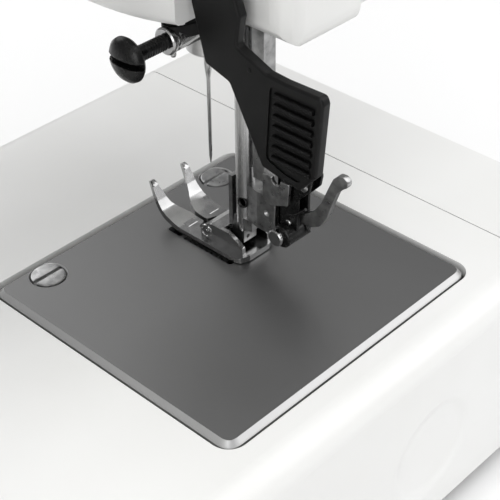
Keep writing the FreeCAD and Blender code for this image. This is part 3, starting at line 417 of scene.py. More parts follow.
def join(name, *things):
    """Several separate solids as one object."""
    shape = bmesh.new()
    for thing in things:
        shape.from_mesh(thing.data)
        bpy.data.objects.remove(thing)
    mesh = bpy.data.meshes.new(name)
    shape.to_mesh(mesh)
    shape.free()
    whole = bpy.data.objects.new(name, mesh)
    bpy.context.scene.collection.objects.link(whole)
    return whole


def wire(name, points, radius):
    """A round wire of this radius along a smooth line through the points' neighbourhood, as a mesh."""
    shape = bpy.data.curves.new(name + "_line", "CURVE")
    shape.dimensions, shape.bevel_depth, shape.bevel_resolution, shape.resolution_u = "3D", radius * MM, 3, 4
    line = shape.splines.new("NURBS")
    line.points.add(len(points) - 1)
    for point, place in zip(line.points, points):
        point.co = (*place, 1)
    line.order_u, line.use_endpoint_u, shape.use_fill_caps = 3, True, True
    drawn = bpy.data.objects.new(name + "_line", shape)
    bpy.context.scene.collection.objects.link(drawn)
    bpy.context.view_layer.update()
    mesh = bpy.data.meshes.new_from_object(drawn.evaluated_get(bpy.context.evaluated_depsgraph_get()))
    bpy.data.objects.remove(drawn)
    thing = bpy.data.objects.new(name, mesh)
    bpy.context.scene.collection.objects.link(thing)
    return thing


def fit(thing, body, slot, *replaced, material=None, smooth=35):
    """Gives a finished piece its finish, and its place on a moving body."""
    thing.data.materials.clear()
    thing.data.materials.append(material or FINISHES[slot])
    for face in thing.data.polygons:
        face.material_index = 0
    thing.data.shade_smooth()
    thing.data.set_sharp_from_angle(angle=math.radians(smooth))
    even = thing.modifiers.new("even_normals", "WEIGHTED_NORMAL")
    even.keep_sharp = True
    settle(thing)
    if replaced:
        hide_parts(*replaced)
    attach(thing, body)
    return thing


# ---------------------------------------------------------------- repeats

def repeated(name, item, count, spacing=(0, 0, 0), ring=None):
    """Copies an item along a line, or evenly round a ring of (axis, centre), as one plain mesh."""
    turn_step, pivot = (0, 0, 0), (0, 0, 0)
    if ring:
        axis, middle = ring
        angle = 2 * math.pi / count
        turn_step = {"X": (angle, 0, 0), "Y": (0, angle, 0), "Z": (0, 0, angle)}[axis]
        pivot = tuple(at(*middle))
    inputs = {"Item": ("NodeSocketObject", item), "Count": ("NodeSocketInt", count),
              "Step": ("NodeSocketVector", [c * MM for c in spacing]),
              "Turn": ("NodeSocketVector", turn_step), "Pivot": ("NodeSocketVector", pivot),
              "Finish": ("NodeSocketMaterial", FINISHES["white_abs"])}
    tree = bpy.data.node_groups.new(name + "_nodes", "GeometryNodeTree")
    for label, (kind, _) in inputs.items():
        tree.interface.new_socket(label, in_out="INPUT", socket_type=kind)
    tree.interface.new_socket("Geometry", in_out="OUTPUT", socket_type="NodeSocketGeometry")

    given = add(tree, "NodeGroupInput").outputs
    source = add(tree, "GeometryNodeObjectInfo", {"Object": given["Item"]}, transform_space="ORIGINAL")
    line = add(tree, "GeometryNodeMeshLine", {"Count": given["Count"], "Offset": given["Step"]})
    index = add(tree, "GeometryNodeInputIndex")
    turn = add(tree, "ShaderNodeVectorMath", {0: given["Turn"], "Scale": index.outputs[0]}, operation="SCALE")
    copies = add(tree, "GeometryNodeInstanceOnPoints", {"Points": line.outputs["Mesh"],
                                                       "Instance": source.outputs["Geometry"]})
    spun = add(tree, "GeometryNodeRotateInstances", {"Instances": copies.outputs[0],
                                                    "Rotation": turn.outputs[0],
                                                    "Pivot Point": given["Pivot"], "Local Space": False})
    real = add(tree, "GeometryNodeRealizeInstances", {"Geometry": spun.outputs[0]})
    dressed = add(tree, "GeometryNodeSetMaterial", {"Geometry": real.outputs[0], "Material": given["Finish"]})
    add(tree, "NodeGroupOutput", {"Geometry": dressed.outputs[0]})

    whole = bpy.data.objects.new(name, bpy.data.meshes.new(name))
    bpy.context.scene.collection.objects.link(whole)
    change = whole.modifiers.new("copies", "NODES")
    change.node_group = tree
    for socket in tree.interface.items_tree:
        if socket.in_out == "INPUT":
            change[socket.identifier] = inputs[socket.name][1]
    settle(whole)
    bpy.data.objects.remove(item)
    return whole


# ---------------------------------------------------------------- presser foot and ankle

def make_foot():
    """Zigzag foot of bent sheet: a sole with two upturned toes and a channel that holds the ankle."""
    toe = [(0.55, -7.2), (1.5, -9.6), (3.3, -12.2), (4.6, -14.8), (5.2, -17.2), (6.0, -17.7), (6.7, -15.4),
           (7.1, -11.5), (7.2, -7)]
    heel = [(7.2, 12.6), (6.2, 15.9), (3.6, 16.8), (-3.6, 16.8), (-6.2, 15.9), (-7.2, 12.6)]
    far_toe = [(-x, y) for x, y in reversed(toe)]
    notch = [(-0.55, -2.6), (-3.3, -1.8), (-3.3, 1.6), (3.3, 1.6), (3.3, -1.8), (0.55, -2.6)]
    sole = prism("foot_sole", "Z", curved(toe + heel + far_toe + notch, 0.9, 3), -1, 13)
    under = [(17.5, 0.3), (-5.6, 0.3, 12), (-12.6, 2.4, 12), (-16.4, 9.2, 5), (-17.3, 10.6, 0.4)]
    over = [(17.5, 1.9), (-5.4, 1.9, 11), (-11.7, 3.7, 10), (-15.3, 10.2, 4), (-16.4, 11.0, 0.4)]
    side = curved(under + list(reversed(over)), steps=10)
    combine(sole, "INTERSECT", prism("foot_side", "X", side, -9, 9))
    soften(sole, 0.25, 2, 40)
    profile = [(1.0, 1.2), (1.0, 4.0), (2.2, 5.6), (4.4, 6.7), (10.6, 6.9), (13.6, 5.6), (15.6, 4.2),
               (15.9, 1.2)]
    walls = [prism("foot_wall", "X", curved(profile, 0.9, 3), low, low + 1.1) for low in (4.1, -5.2)]
    bend = [(1.0, 1.2), (1.0, 4.0), (2.2, 5.6), (4.6, 6.75), (8.3, 6.85), (8.3, 6.0), (4.7, 5.8),
            (2.9, 4.7), (2.0, 3.4), (2.0, 1.2)]
    bridge = prism("foot_bridge", "X", curved(bend, 0.5, 3), -4.9, 4.9)
    channel = combine(walls[0], "UNION", walls[1], bridge)
    soften(channel, 0.22, 2, 40)
    ringed = ((0, 0), (0, 1.9), (0.3, 1.8), (0.35, 1.45), (0.15, 1.3), (0.15, 0.9), (0.45, 0.8), (0.5, 0))
    rivets = [lathe("foot_rivet", "X", (side * 5.2, 2.9, 3.9), [(side * a, r) for a, r in ringed], 40)
              for side in (-1, 1)]
    marks = [soften(slab("foot_mark", (middle - 1.7, middle + 1.7), (-6.5, -3.6), (1.75, 2.05)), 0.1, 1)
             for middle in (-4.2, 3.6)]
    fit(join("foot_body", sole, channel, *rivets, *marks), "presser_foot", "nickel_chrome", "presser_foot")


def make_presser_bar():
    """Plated presser bar with its recessed set screw."""
    bar = lathe("presser_bar_rod", "Z", (0, BAR_Y, 0),
                [(7.0, 0), (7.0, 2.3), (7.3, 2.6), (184.2, 2.6), (184.6, 2.2), (184.6, 0)], 64)
    combine(bar, "DIFFERENCE", rod("screw_seat", "X", (2.1, 13.2, 16.0), 1.55, 0, 3, 32))
    fit(bar, "presser_bar", "nickel_chrome", "presser_bar", material=BAR_PLATE)
    screw = lathe("ankle_set_screw", "X", (1.9, 13.2, 16.0),
                  [(0, 0), (0, 1.5), (0.5, 1.5), (0.62, 1.35), (0.45, 1.1), (0.2, 1.0), (0.2, 0)], 32)
    fit(screw, "presser_bar", "blackened_steel")


def make_presser_spring():
    """Compression spring round the presser bar, one rigid coil that rides with the bar. On the machine it
    shortens as the bar rises under the fixed guide.
    """
    low, high = [Vector(corner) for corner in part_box("presser_spring")]
    wire_radius, turns, steps = 0.55, 11, 16
    count = turns * steps
    ring = (high.x - low.x) / 2 - wire_radius * MM
    middle = (low + high) / 2
    points = []
    for i in range(count + 1):
        angle = 2 * math.pi * i / steps
        rise = i / count * (high.z - low.z - 2 * wire_radius * MM)
        points.append(Vector((middle.x + ring * math.cos(angle), middle.y + ring * math.sin(angle),
                              low.z + wire_radius * MM + rise)))
    line = wire("presser_spring_coil", points, wire_radius)
    coil = fit(line, "presser_bar", "ground_steel", "presser_spring", smooth=60)
    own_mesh(coil)


def make_ankle():
    """Ankle of folded and ground steel behind the bar, with its front jaw and the channel's pivot block."""
    outline = curved([(-2.8, 14.2), (2.0, 14.2), (2.8, 18.5), (2.8, 24.6), (-2.8, 24.6)], 0.5, 3)
    block = prism("ankle_steel", "Z", outline, 11.3, 22.0)
    jaw = slab("ankle_jaw", (-4, 1.9), (8.0, 9.2), (7.0, 21.9))
    jaw_web = slab("ankle_jaw_web", (-4, -2.4), (8.6, 16), (11.4, 20.5))
    side = [(9.8, 3.4), (9.8, 8.4), (10.2, 11.4), (16.4, 11.4), (16.4, 8.6), (13.6, 7.6), (13.6, 3.6)]
    neck = prism("ankle_neck", "X", curved(side, 0.4, 3), -2.2, 2.4)
    combine(block, "UNION", jaw, jaw_web, neck)
    cuts = [rod("bar_seat", "Z", (0, BAR_Y, 0), 2.55, 6.9, 40),
            lathe("dimple", "X", (2.2, 21.8, 17.1), [(0, 0), (0, 0.45), (0.7, 0.95), (2, 0.95), (2, 0)], 24),
            rod("block_hole", "Y", (0.9, 12.0, 5.2), 0.55, 0, 4, 24)]
    combine(block, "DIFFERENCE", *cuts)
    soften(block, 0.2, 2, 40)
    fit(block, "presser_bar", "ground_steel", "ankle_block")

    plate = [(21.4, 29.2), (23.2, 29.5), (24.4, 29.3), (24.6, 28.2), (25.3, 27.6), (26.4, 27.6), (27.0, 28.3),
             (27.2, 29.3), (30.0, 29.5), (29.6, 23.3), (24.4, 21.2), (22.3, 21.4), (21.4, 23.0)]
    notched = prism("notched_plate", "X", curved(plate, 0.5, 4), 2.85, 3.95)
    fit(soften(notched, 0.15, 2), "presser_bar", "ground_steel", "notch_plate")


def make_spring_bracket():
    """Black bracket, its rivet, the pin with its plated head, and the coil that returns the release lever."""
    cheek = [(25.2, 13.6), (29.4, 13.4), (31.2, 16), (31.4, 24.9), (34.8, 28.8), (35.5, 32.6), (26.2, 32.6),
             (25.2, 29)]
    cheeks = [soften(prism("bracket_cheek", "X", curved(cheek, 0.9, 3), low, low + 0.9), 0.15, 2)
              for low in (1.5, -2.4)]
    back = slab("bracket_back", (-2.4, 2.4), (25.0, 26.0), (13.6, 31))
    hub = lathe("bracket_hub", "X", (-2.6, 28.6, 14.4),
                [(0, 0), (0, 2.9), (7.6, 2.9), (7.9, 2.5), (7.9, 0)], 40)
    combine(back, "UNION", hub)
    body = join("spring_bracket_body", *cheeks, soften(back, 0.15, 2))
    fit(body, "presser_bar", "blackened_steel", "spring_bracket")

    axle_y, axle_z = 29.2, 18.0
    right, radius, pitch, turns, steps = 2.2, 1.9, 1.1, 3, 12
    points = [at(right, 33.9, 23.6), at(right, 31.6, 21.0)]
    for i in range(turns * steps + 1):
        angle = math.pi * (0.5 + 2 * i / steps)
        points.append(at(right - pitch * i / steps, axle_y + radius * math.cos(angle),
                         axle_z + radius * math.sin(angle)))
    points += [at(-1.2, 31.4, 15.6), at(-1.2, 32.4, 14.4)]
    fit(wire("return_spring_coil", points, 0.38), "presser_bar", "blackened_steel", smooth=60)

    pins = [lathe("pin_head", "X", (5.0, 28.0, 14.6),
                  [(0, 0), (0, 2.0), (1.0, 2.25), (1.6, 2.2), (1.85, 1.9), (1.9, 0)], 40),
            lathe("bracket_rivet", "X", (2.3, 33.2, 29.7),
                  [(0, 0), (0, 1.35), (0.35, 1.2), (0.55, 0.7), (0.6, 0)], 32),
            lathe("lever_axle", "X", (-3.0, axle_y, axle_z),
                  [(0, 0), (0, 0.8), (6.2, 0.8), (6.4, 0.6), (6.4, 0)], 24)]
    fit(join("ankle_pin_set", *pins), "presser_bar", "ground_steel", "ankle_pins",
        material=FINISHES["nickel_chrome"])


def make_release_lever():
    """Curled release lever behind the ankle: ground steel strip with a rolled end."""
    outline = [(27.6, 16.2), (29.2, 17.6), (31.6, 17.6), (34.5, 17.9), (37.1, 19.4), (39.2, 22.6),
               (40.7, 27.4), (42.1, 31.2), (43.6, 32.9), (44.9, 33.9), (45.3, 35.3), (43.9, 36.4),
               (42.2, 36.2), (40.7, 34.6), (39.4, 31.6), (37.4, 26.6), (35.4, 23.5), (33.8, 21.9),
               (31.4, 20.6), (27.6, 19.6)]
    lever = prism("release_strip", "X", curved(outline, 1.2, 4), -0.85, 0.85)
    fit(soften(lever, 0.22, 2), "release_lever", "ground_steel", "release_lever")


# ---------------------------------------------------------------- lifter, clamp and needle

def make_lifter():
    """Black moulded lifter: a strip that widens to a paddle with finger ribs and a framed edge."""
    outline = [(7.8, 134), (20.8, 134), (21.2, 77.2), (22.6, 73.6), (21.4, 66.4), (30.3, 62.9), (35.5, 62.6),
               (46, 62.9), (46.8, 61.2), (45.3, 42.4), (40.4, 36.8), (34.9, 37.4), (29, 38.4), (19, 56.5),
               (11.5, 58.6), (7.6, 72.7)]
    strip = prism("lifter_strip", "X", curved(outline, 1.4, 4), 9.5, 12.4)
    soften(strip, 0.7, 3, 30)
    pad = [(30.4, 41.2), (36, 39.4), (40.2, 39.0), (43.6, 43.2), (44.9, 60.9), (31.6, 60.6)]
    dish = prism("lifter_dish", "X", curved(pad, 1.6, 4), 12.0, 13.4)
    combine(strip, "DIFFERENCE", dish)
    hub = lathe("lifter_hub", "Y", LIFTER_PIVOT,
                [(9.6, 0), (9.6, 4.5), (10.0, 5), (21.1, 5), (21.5, 4.5), (21.5, 0)], 40)
    lobe = slab("lifter_lobe", (9, 18.4), (10.2, 16.8), (131.8, 135.4))
    bore = rod("lifter_bore", "Y", LIFTER_PIVOT, 2.05, 5, 25, 32)
    combine(strip, "UNION", hub, soften(lobe, 0.5, 2))
    combine(strip, "DIFFERENCE", bore)
    fit(strip, "lifter_lever", "black_plastic", "lifter_lever")
    lowest_rib = 41.6
    rib_side = curved([(12.0, 0), (12.9, 0.25), (13.1, 0.75), (12.9, 1.25), (12.0, 1.5)], 0.3, 2)
    rib = prism("finger_rib", "Y", [(x, z + lowest_rib) for x, z in rib_side], 32.2, 43.6)
    fit(repeated("finger_ribs", rib, 7, (0, 0.12, 2.72)), "lifter_lever", "black_plastic")
    mark = lathe("lifter_gate_mark", "X", (12.2, 25.4, 62.0), [(0, 0), (0, 0.7), (0.3, 0.6), (0.45, 0)], 24)
    fit(mark, "lifter_lever", "black_plastic")


def make_clamp():
    """Plated needle clamp with its black thread guide, the clamp screw and the needle."""
    barrel = lathe("clamp_barrel", "Z", (0, 0, 53.4),
                   [(0, 0), (0, 4.6), (0.6, 5.2), (7.2, 5.2), (7.5, 4.9), (7.5, 0)], 64)
    boss = lathe("clamp_boss", "X", (0, 0, CLAMP_Z),
                 [(2, 0), (2, 3.2), (11.2, 3.2), (11.4, 2.6), (12.4, 2.6), (12.5, 3.4), (13.6, 3.4),
                  (13.9, 3.0), (13.9, 0)], 48)
    nub = lathe("clamp_nub", "Z", (11.2, 0, 55.6),
                [(0, 0), (0.1, 0.6), (0.6, 0.75), (3.4, 0.75), (3.4, 0)], 20)
    combine(barrel, "UNION", boss, nub)
    combine(barrel, "DIFFERENCE", rod("bar_hole", "Z", (0, 0, 50), 3.2, 0, 14))
    fit(soften(barrel, 0.12, 2, 50), "needle_bar", "nickel_chrome", "needle_clamp")

    guide = [(-5.6, -4.2), (3, -5.3), (9.5, -4.4), (12.8, -2.2), (12.8, 1.6), (8.6, 3.4), (3, 5.0),
             (-5.6, 4.2)]
    cap = prism("thread_guide_cap", "Z", curved(guide, 2.2, 4), 60.9, 64.2)
    combine(cap, "DIFFERENCE", rod("cap_hole", "Z", (0, 0, 50), 3.25, 0, 20))
    fit(soften(cap, 0.5, 3), "needle_bar", "black_plastic")

    pitch, valley, crest = 0.8, 1.75, 1.95
    threads = []
    for turn in range(9):
        threads += [(10.6 + turn * pitch, valley), (11.0 + turn * pitch, crest)]
    knob = [(20.7, 3.4), (20.9, 5.2), (21.5, 5.6), (22.2, 5.5), (23.1, 4.7), (23.8, 3.3), (24.1, 1.6),
            (24.2, 0)]
    screw = lathe("clamp_screw_stem", "X", (3.6, 0, CLAMP_Z),
                  [(0, 0), (0, 1.8), (10.2, 1.8), *threads, (20.6, 1.8), *knob], 64)
    combine(screw, "DIFFERENCE", slab("coin_slot", (25.2, 32), (-8, 8), (59.7, 61.3)))
    fit(soften(screw, 0.15, 2, 50), "clamp_screw", "blackened_steel", "clamp_screw")

    blade = lathe("needle_blade", "Z", (0, 0, 20.9),
                  [(0, 0), (0.25, 0.13), (2.4, 0.4), (6, 0.46), (24.5, 0.5), (26.5, 0.8), (28.5, 1.0),
                   (37.8, 1.0), (38, 0)], 32)
    eye = slab("needle_eye", (-0.18, 0.18), (-2, 2), (24.6, 26.4))
    groove = slab("needle_groove", (-0.14, 0.14), (-1, -0.3), (26.6, 46))
    combine(blade, "DIFFERENCE", eye, groove)
    fit(blade, "needle_bar", "nickel_chrome", "needle")


# ---------------------------------------------------------------- stitch plate

def slotted_screw(name, centre, top, radius):
    """Flat cheese head with a straight slot, whose face stands top millimetres above its centre."""
    head = lathe(name, "Z", centre, [(-1.1, 0), (-1.1, radius - 0.1), (top - 0.35, radius),
                                     (top - 0.1, radius - 0.12), (top, radius - 0.45), (top, 0)], 64)
    x, y, z = centre
    slot = slab("screw_slot", (x - 6, x + 6), (y - 0.55, y + 0.55), (z + top - 0.75, z + top + 1))
    combine(head, "DIFFERENCE", slot)
    return soften(head, 0.08, 2, 50)


def make_plate():
    """Stitch plate with a milled chamfer, needle slot, feed slots and two cheese-head screws."""
    corners = [(-31.4, -22.5), (55, -22.5), (55, 59.1), (-31.4, 59.1)]
    screw_places = [(x, -16.8, 0) for x in (42, -18.4)]
    chamfer = 1.3
    plate = prism("stitch_plate", "Z", curved(corners, 4, 8), -2, 0)
    round_edges(plate, lambda x, y, z: chamfer if z > -NEAR else 0, 1)
    holes = []
    for x0, x1, y0, y1 in ((-3.5, 3.5, -1, 1), (-8, -5, -9, 14), (5, 8, -9, 14), (-2.2, 2.2, 4, 14)):
        outline = curved([(x0, y0), (x1, y0), (x1, y1), (x0, y1)], 0.8, 3)
        holes.append(prism("plate_slot", "Z", outline, -4, 2))
    for place in screw_places:
        holes.append(lathe("screw_recess", "Z", place,
                           [(-1.3, 0), (-1.3, 4.75), (-0.3, 4.75), (0.2, 5.2), (2, 5.2), (2, 0)], 64))
    combine(plate, "DIFFERENCE", *holes)
    fit(plate, "machine", "plate_steel", "needle_plate")
    heads = [slotted_screw("plate_screw_head", place, 0.15, 4.45) for place in screw_places]
    fit(join("plate_screw_heads", *heads), "machine", "plate_steel", "plate_screws",
        material=FINISHES["ground_steel"])


# ---------------------------------------------------------------- casings

COVER_SEAM = -19.8              # face cover to casings
CASING_SEAM = 6.5               # front casing to rear casing
HALF_GAP = 0.2
ARM_FRONT, ARM_BACK, PILLAR_BACK = -45, 30.5, 46.5
ARM_LOW, ARM_TOP, BED_TOP = 124.6, 223.6, -0.2
PILLAR_LEFT, PILLAR_RIGHT, HEAD_RIGHT = 165, 297.6, 16
HEAD_LOW, CHIN_LOW = 65, 62.8   # undersides of the front and rear casings at the head
HOLLOW_LOW, PILLAR_HOLLOW_LOW = 68, -8
WALL = 3
ARM_CORNER = 7                  # corners of the arm as seen from the front
FRONT_RIM, BACK_RIM = 3, 7      # roundings towards the front and back faces
SAG_LEVELS = range(-30, 6, 5)   # y of the slices that let the underside bend
HINGE_LEVELS = (83.6, 173.6)    # z of the face cover's two hinges
HANDLE_PIN_Z = 228.1


def head_sag(x, y, z):
    """The underside of the head hangs lower to the front than at the seam of the casings."""
    seam_rise, drop, run = 1.9, 4.4, 34
    top, fade = 72, 6           # nothing moves above top
    share = min(max((CASING_SEAM - y) / run, 0), 1)
    return (seam_rise - drop * (1 - (1 - share) ** 2)) * min(max((top - z) / fade, 0), 1)


def hinge_barrels(start, radius, length):
    """Two hinge barrels at the corner where the face cover swings, or the room for them."""
    return [rod("hinge_barrel", "Z", (COVER_SEAM, ARM_BACK + 0.3, z + start), radius, 0, length, 32)
            for z in HINGE_LEVELS]


def casing_rim(left, faces_out, rim):
    """Rule for round_edges: this rim where the test holds, and none at the open left end or foot."""
    def radius_of(x, y, z):
        return rim if faces_out(y) and x >= left + NEAR and z >= BED_TOP + NEAR else 0
    return radius_of


def make_front_casing():
    """Front half of head, arm and pillar: one thin shell with a lever slot and the holes of the controls."""
    left = COVER_SEAM + HALF_GAP
    outline = [(left, HEAD_LOW), (HEAD_RIGHT, HEAD_LOW, 3.1), (HEAD_RIGHT, ARM_LOW, ARM_CORNER),
               (PILLAR_LEFT, ARM_LOW, ARM_CORNER), (PILLAR_LEFT, BED_TOP), (PILLAR_RIGHT, BED_TOP),
               (PILLAR_RIGHT, ARM_TOP, 9.2), (left, ARM_TOP)]
    shell = prism("front_casing_shell", "Y", curved(outline, steps=6), ARM_FRONT, CASING_SEAM - HALF_GAP)
    round_edges(shell, casing_rim(left, lambda y: y <= ARM_FRONT + NEAR, FRONT_RIM), 6)
    bent(shell, SAG_LEVELS, head_sag)
    hollow = [(left - 5, HOLLOW_LOW), (HEAD_RIGHT - WALL, HOLLOW_LOW), (HEAD_RIGHT - WALL, ARM_LOW + WALL),
              (PILLAR_LEFT + WALL, ARM_LOW + WALL), (PILLAR_LEFT + WALL, PILLAR_HOLLOW_LOW),
              (PILLAR_RIGHT - WALL, PILLAR_HOLLOW_LOW), (PILLAR_RIGHT - WALL, ARM_TOP - WALL),
              (left - 5, ARM_TOP - WALL)]
    cuts = [prism("casing_hollow", "Y", curved(hollow), ARM_FRONT + WALL, 12),
            slab("needle_exit", (-25, 13), (-14, 12), (50, 69)),
            soften(slab("lever_slot", (-16, -11), (-50, -40), (129.6, 207.6)), 2, 4, 60),
            slab("reverse_hole", (220.6, 242.6), (-50, -40), (25.6, 49.6)),
            slab("switch_hole", (292, 300), (-36, -21), (21.6, 45.6)),
            rod("winder_hole", "Z", (253.6, -17.5, 218), 5, 0, 9),
            rod("shaft_exit", "X", (291, 0, MAIN_SHAFT_Z), 6, 0, 12)]
    cuts += [rod("dial_hole", "Y", (x, -50, z), 3.4, 0, 10)
             for x, z in ((3, HIGH_DIAL_Z), (DIAL_X, LOW_DIAL_Z), (DIAL_X, HIGH_DIAL_Z))]
    combine(shell, "DIFFERENCE", *cuts)
    web = slab("head_web", (9, HEAD_RIGHT - 1), (CASING_SEAM - 2.2, CASING_SEAM - HALF_GAP),
               (67.2, ARM_LOW + 1))
    ears = []
    for x in (62.6, 197.1):
        side = [(-11.5, 222), (-3.5, 222), (-3.5, HANDLE_PIN_Z, 3.9), (-3.5, 232.1, 4), (-11.5, 232.1, 4),
                (-11.5, HANDLE_PIN_Z, 3.9)]
        ears.append(soften(prism("handle_ear", "X", curved(side, steps=6), x, x + 4.5), 0.5, 3, 40))
    combine(shell, "UNION", web, *ears)
    seats = [rod("pin_seat", "X", (x, -7.5, HANDLE_PIN_Z), 2, 0, 8, 32) for x in (61.6, 195.6)]
    combine(shell, "DIFFERENCE", *seats)
    fit(shell, "machine", "white_abs", "front_casing")


def make_rear_head(left, seam):
    """Back of the head: the solid that a chin outline, a plan and a side view have in common."""
    chin = [(left, CHIN_LOW), (-2.8, CHIN_LOW, 12), (5.6, 67.6, 6.5), (5.6, ARM_LOW + 8), (left, ARM_LOW + 8)]
    head = prism("head_back", "Y", curved(chin, steps=8), seam, ARM_BACK)
    outline = [(left - 10, 0), (5.65, 0), (5.65, ARM_BACK + 0.05, BACK_RIM), (left - 10, ARM_BACK + 0.05)]
    plan = prism("head_plan", "Z", curved(outline, steps=8), 50, 140)
    profile = [(0, 62.75), (ARM_BACK + 0.02, 62.75, 6), (ARM_BACK + 0.02, 150), (0, 150)]
    side = prism("head_side", "X", curved(profile, steps=8), -40, 30)
    return combine(head, "INTERSECT", plan, side)


def make_rear_casing():
    """Rear half: narrow at the head, where the lifter stands beside it, and deeper at the pillar."""
    left, seam = COVER_SEAM + HALF_GAP, CASING_SEAM + HALF_GAP
    outline = [(left, ARM_LOW), (PILLAR_LEFT, ARM_LOW, ARM_CORNER), (PILLAR_LEFT, BED_TOP),
               (PILLAR_RIGHT, BED_TOP), (PILLAR_RIGHT, ARM_TOP, 9), (left, ARM_TOP)]
    shell = prism("rear_casing_shell", "Y", curved(outline, steps=6), seam, ARM_BACK)
    round_edges(shell, casing_rim(left, lambda y: y >= ARM_BACK - NEAR, BACK_RIM), 8)
    deep = [(PILLAR_LEFT, BED_TOP), (PILLAR_RIGHT, BED_TOP), (PILLAR_RIGHT, ARM_TOP, 9),
            (PILLAR_LEFT, ARM_TOP, ARM_CORNER)]
    pillar = prism("pillar_back", "Y", curved(deep, steps=6), seam, PILLAR_BACK)
    round_edges(pillar, casing_rim(left, lambda y: y >= PILLAR_BACK - NEAR, BACK_RIM), 8)
    combine(shell, "UNION", pillar, make_rear_head(left, seam))
    cuts = [slab("head_hollow", (left - 5, 3.6), (0, ARM_BACK - WALL), (HOLLOW_LOW, 133)),
            slab("arm_hollow", (left - 5, PILLAR_RIGHT - WALL), (0, ARM_BACK - WALL),
                 (ARM_LOW + WALL, ARM_TOP - WALL)),
            slab("pillar_hollow", (PILLAR_LEFT + WALL, PILLAR_RIGHT - WALL), (0, PILLAR_BACK - WALL),
                 (PILLAR_HOLLOW_LOW, ARM_TOP - WALL)),
            slab("bar_exit", (-14, 3.6), (0, 23), (60, 71)),
            slab("lifter_slot", (8.6, 39), (5, 23), (ARM_LOW - 1, ARM_LOW + 4)),
            rod("spool_pin_hole", "Z", (231.6, 20.5, 218), 2.9, 0, 9, 40)]
    vent = soften(slab("vent", (197.6, 200.6), (40, 50), (23.6, 63.6)), 1.2, 3, 60)
    cuts += [repeated("vent_row", vent, 8, (8, 0, 0)), *hinge_barrels(-0.4, 2, 10.6)]
    combine(shell, "DIFFERENCE", *cuts)
    combine(shell, "UNION", *hinge_barrels(10.2, 1.6, 10))
    fit(shell, "machine", "white_abs", "rear_casing")


def make_face_cover():
    """Cap over the end of the head, which swings to the back on its corner hinge."""
    left, right = -50, COVER_SEAM - HALF_GAP
    shell = slab("face_cover_shell", (left, right), (ARM_FRONT, ARM_BACK), (64.6, ARM_TOP))

    def radius_of(x, y, z):
        if x > right - NEAR:
            return 0
        return FRONT_RIM if y < ARM_FRONT + NEAR and x > left + 1 else BACK_RIM

    round_edges(shell, radius_of, 8)
    bent(shell, SAG_LEVELS, lambda x, y, z: min(head_sag(x, y, z), 0))
    hollow = slab("cover_hollow", (left + WALL, right + 4), (ARM_FRONT + WALL, ARM_BACK - WALL),
                  (HOLLOW_LOW, ARM_TOP - WALL))
    combine(shell, "DIFFERENCE", hollow, *hinge_barrels(9.8, 2, 10.8))
    combine(shell, "UNION", *hinge_barrels(0, 1.6, 9.8))
    fit(shell, "face_cover", "white_abs", "face_cover")


def make_seam_lip():
    """Thin lip on the bed's end that shows pale in the seam beside the accessory box."""
    section = [(-77.5, -57), (-77.5, -1.2, 6.5), (70.5, -1.2, 6.5), (70.5, -57)]
    fit(prism("bed_seam_lip", "X", curved(section, steps=6), -48.66, -48.39), "machine", "white_abs")


def make_rear_cap():
    """Round blank set flush in the bed's back, with a shallow soft-edged dish."""
    cap = lathe("round_blank", "Y", (-4, 66.5, -35),
                [(0, 0), (0, 19), (1.9, 19), (2.0, 16.38), (5.5, 16.38), (5.5, 15.6), (5.42, 14.8),
                 (5.2, 14.0), (4.9, 13.2), (4.7, 12.2), (4.6, 11), (4.6, 0)], 96)
    fit(cap, "machine", "white_abs", "rear_cap", smooth=60)


# ---------------------------------------------------------------- handwheel and dials

def make_handwheel_grip():
    """Finger ridges round the handwheel's rim."""
    foot_z, crest_z = 213.2, 214.5
    rim = curved([(-0.95, foot_z), (-0.7, crest_z, 0.5), (0.7, crest_z, 0.5), (0.95, foot_z)])
    ridge = soften(prism("rim_ridge", "X", rim, 303.6, 314.6), 0.2, 2, 60)
    ridges = repeated("handwheel_ridges", ridge, 54, ring=("X", (0, 0, MAIN_SHAFT_Z)))
    fit(ridges, "upper_shaft", "black_plastic")


def make_dial(name, x, z, radius, depth, ridges, dots=12):
    """Ridges round a dial, its pointer line, and the dots of its scale on the casing."""
    face = ARM_FRONT - 0.5 - depth
    ring = ("Y", (x, 0, z))
    section = [(x - 0.6, z + radius - 1.4), (x - 0.4, z + radius - 0.1), (x + 0.4, z + radius - 0.1),
               (x + 0.6, z + radius - 1.4)]
    ridge = soften(prism("dial_ridge", "Y", section, face + 1.4, face + depth - 0.6), 0.12, 1, 60)
    fit(repeated(name + "_ridges", ridge, ridges, ring=ring), name, "black_plastic")
    line = slab(name + "_pointer", (x - 0.5, x + 0.5), (face - 0.12, face + 0.6),
                (z + radius * 0.4, z + radius - 3))
    fit(soften(line, 0.1, 1), name, "white_abs")
    dot = rod("scale_dot", "Y", (x, ARM_FRONT - 0.12, z + radius + 3.4), 0.6, 0, 0.3, 16)
    fit(repeated(name + "_scale", dot, dots, ring=ring), "machine", "grey_plastic")


make_foot()
make_presser_bar()
make_presser_spring()
make_ankle()
make_spring_bracket()
make_release_lever()
make_lifter()
make_clamp()
make_plate()
make_front_casing()
make_rear_casing()
make_face_cover()
make_seam_lip()
make_rear_cap()
make_handwheel_grip()
make_dial("tension_dial", 3, HIGH_DIAL_Z, 13, 9, 28, dots=1)
make_dial("pattern_dial", DIAL_X, LOW_DIAL_Z, 25, 10, 48)
make_dial("length_dial", DIAL_X, HIGH_DIAL_Z, 15, 9, 32)


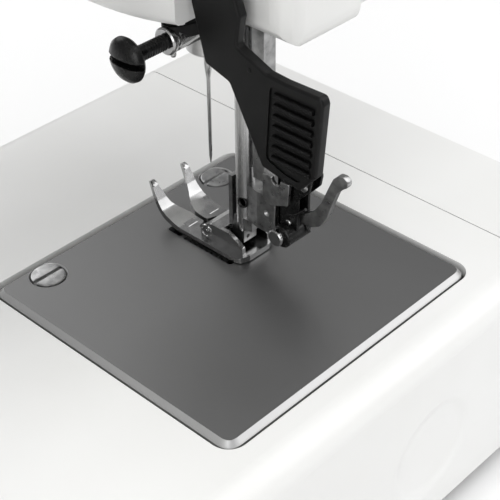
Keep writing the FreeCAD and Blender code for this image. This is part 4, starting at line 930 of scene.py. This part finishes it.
# ---------------------------------------------------------------- stage, light and camera

LIGHT_AIM = (-0.12, 0, 0.1)


def area_light(name, place, width, height, power):
    """A soft rectangular light that faces the middle of the head."""
    lamp = bpy.data.lights.new(name, "AREA")
    lamp.shape, lamp.size, lamp.size_y, lamp.energy = "RECTANGLE", width, height, power
    thing = bpy.data.objects.new(name, lamp)
    thing.location = place
    thing.rotation_euler = (Vector(LIGHT_AIM) - Vector(place)).to_track_quat("-Z", "Y").to_euler()
    bpy.context.scene.collection.objects.link(thing)


def make_stage():
    """Pale seamless floor and even white surroundings."""
    shape = bmesh.new()
    bmesh.ops.create_grid(shape, x_segments=1, y_segments=1, size=4)
    floor = mesh_object("studio_floor", shape)
    paper = Finish("studio_paper", "#F4F4F4", 0.8)
    paper.bump(paper.noise(3), 0.02)
    floor.data.materials.append(paper.material)
    world = bpy.data.worlds.new("studio")
    bpy.context.scene.world = world
    world.use_nodes = True
    backdrop = world.node_tree.nodes["Background"]
    backdrop.inputs["Color"].default_value = linear("#FFFFFF")
    backdrop.inputs["Strength"].default_value = 0.35
    area_light("overhead", (-0.1, 0.35, 1.5), 2.2, 1.0, 16)
    area_light("rear_left", (-1.1, 0.9, 0.9), 1.0, 1.0, 7)
    area_light("right_side", (1.2, 0.7, 0.5), 0.9, 0.9, 7)
    area_light("front", (-0.3, -1.2, 0.8), 1.2, 0.7, 6)


def make_camera():
    """Close view from above, behind and right of the needle, looking down to the foot."""
    eye, target = at(199, 203, 205), at(-0.07, 13.3, 0)
    camera = bpy.data.cameras.new("close_view")
    camera.lens, camera.sensor_width = 95.97, 36
    thing = bpy.data.objects.new("close_view", camera)
    thing.location = eye
    thing.rotation_mode = "QUATERNION"
    level = (target - eye).to_track_quat("-Z", "Y")
    thing.rotation_quaternion = level @ Quaternion((0, 0, 1), math.radians(-0.56))
    bpy.context.scene.collection.objects.link(thing)
    bpy.context.scene.camera = thing
    camera.clip_start = 0.01


make_stage()
make_camera()
bpy.context.scene.view_settings.view_transform = "Standard"
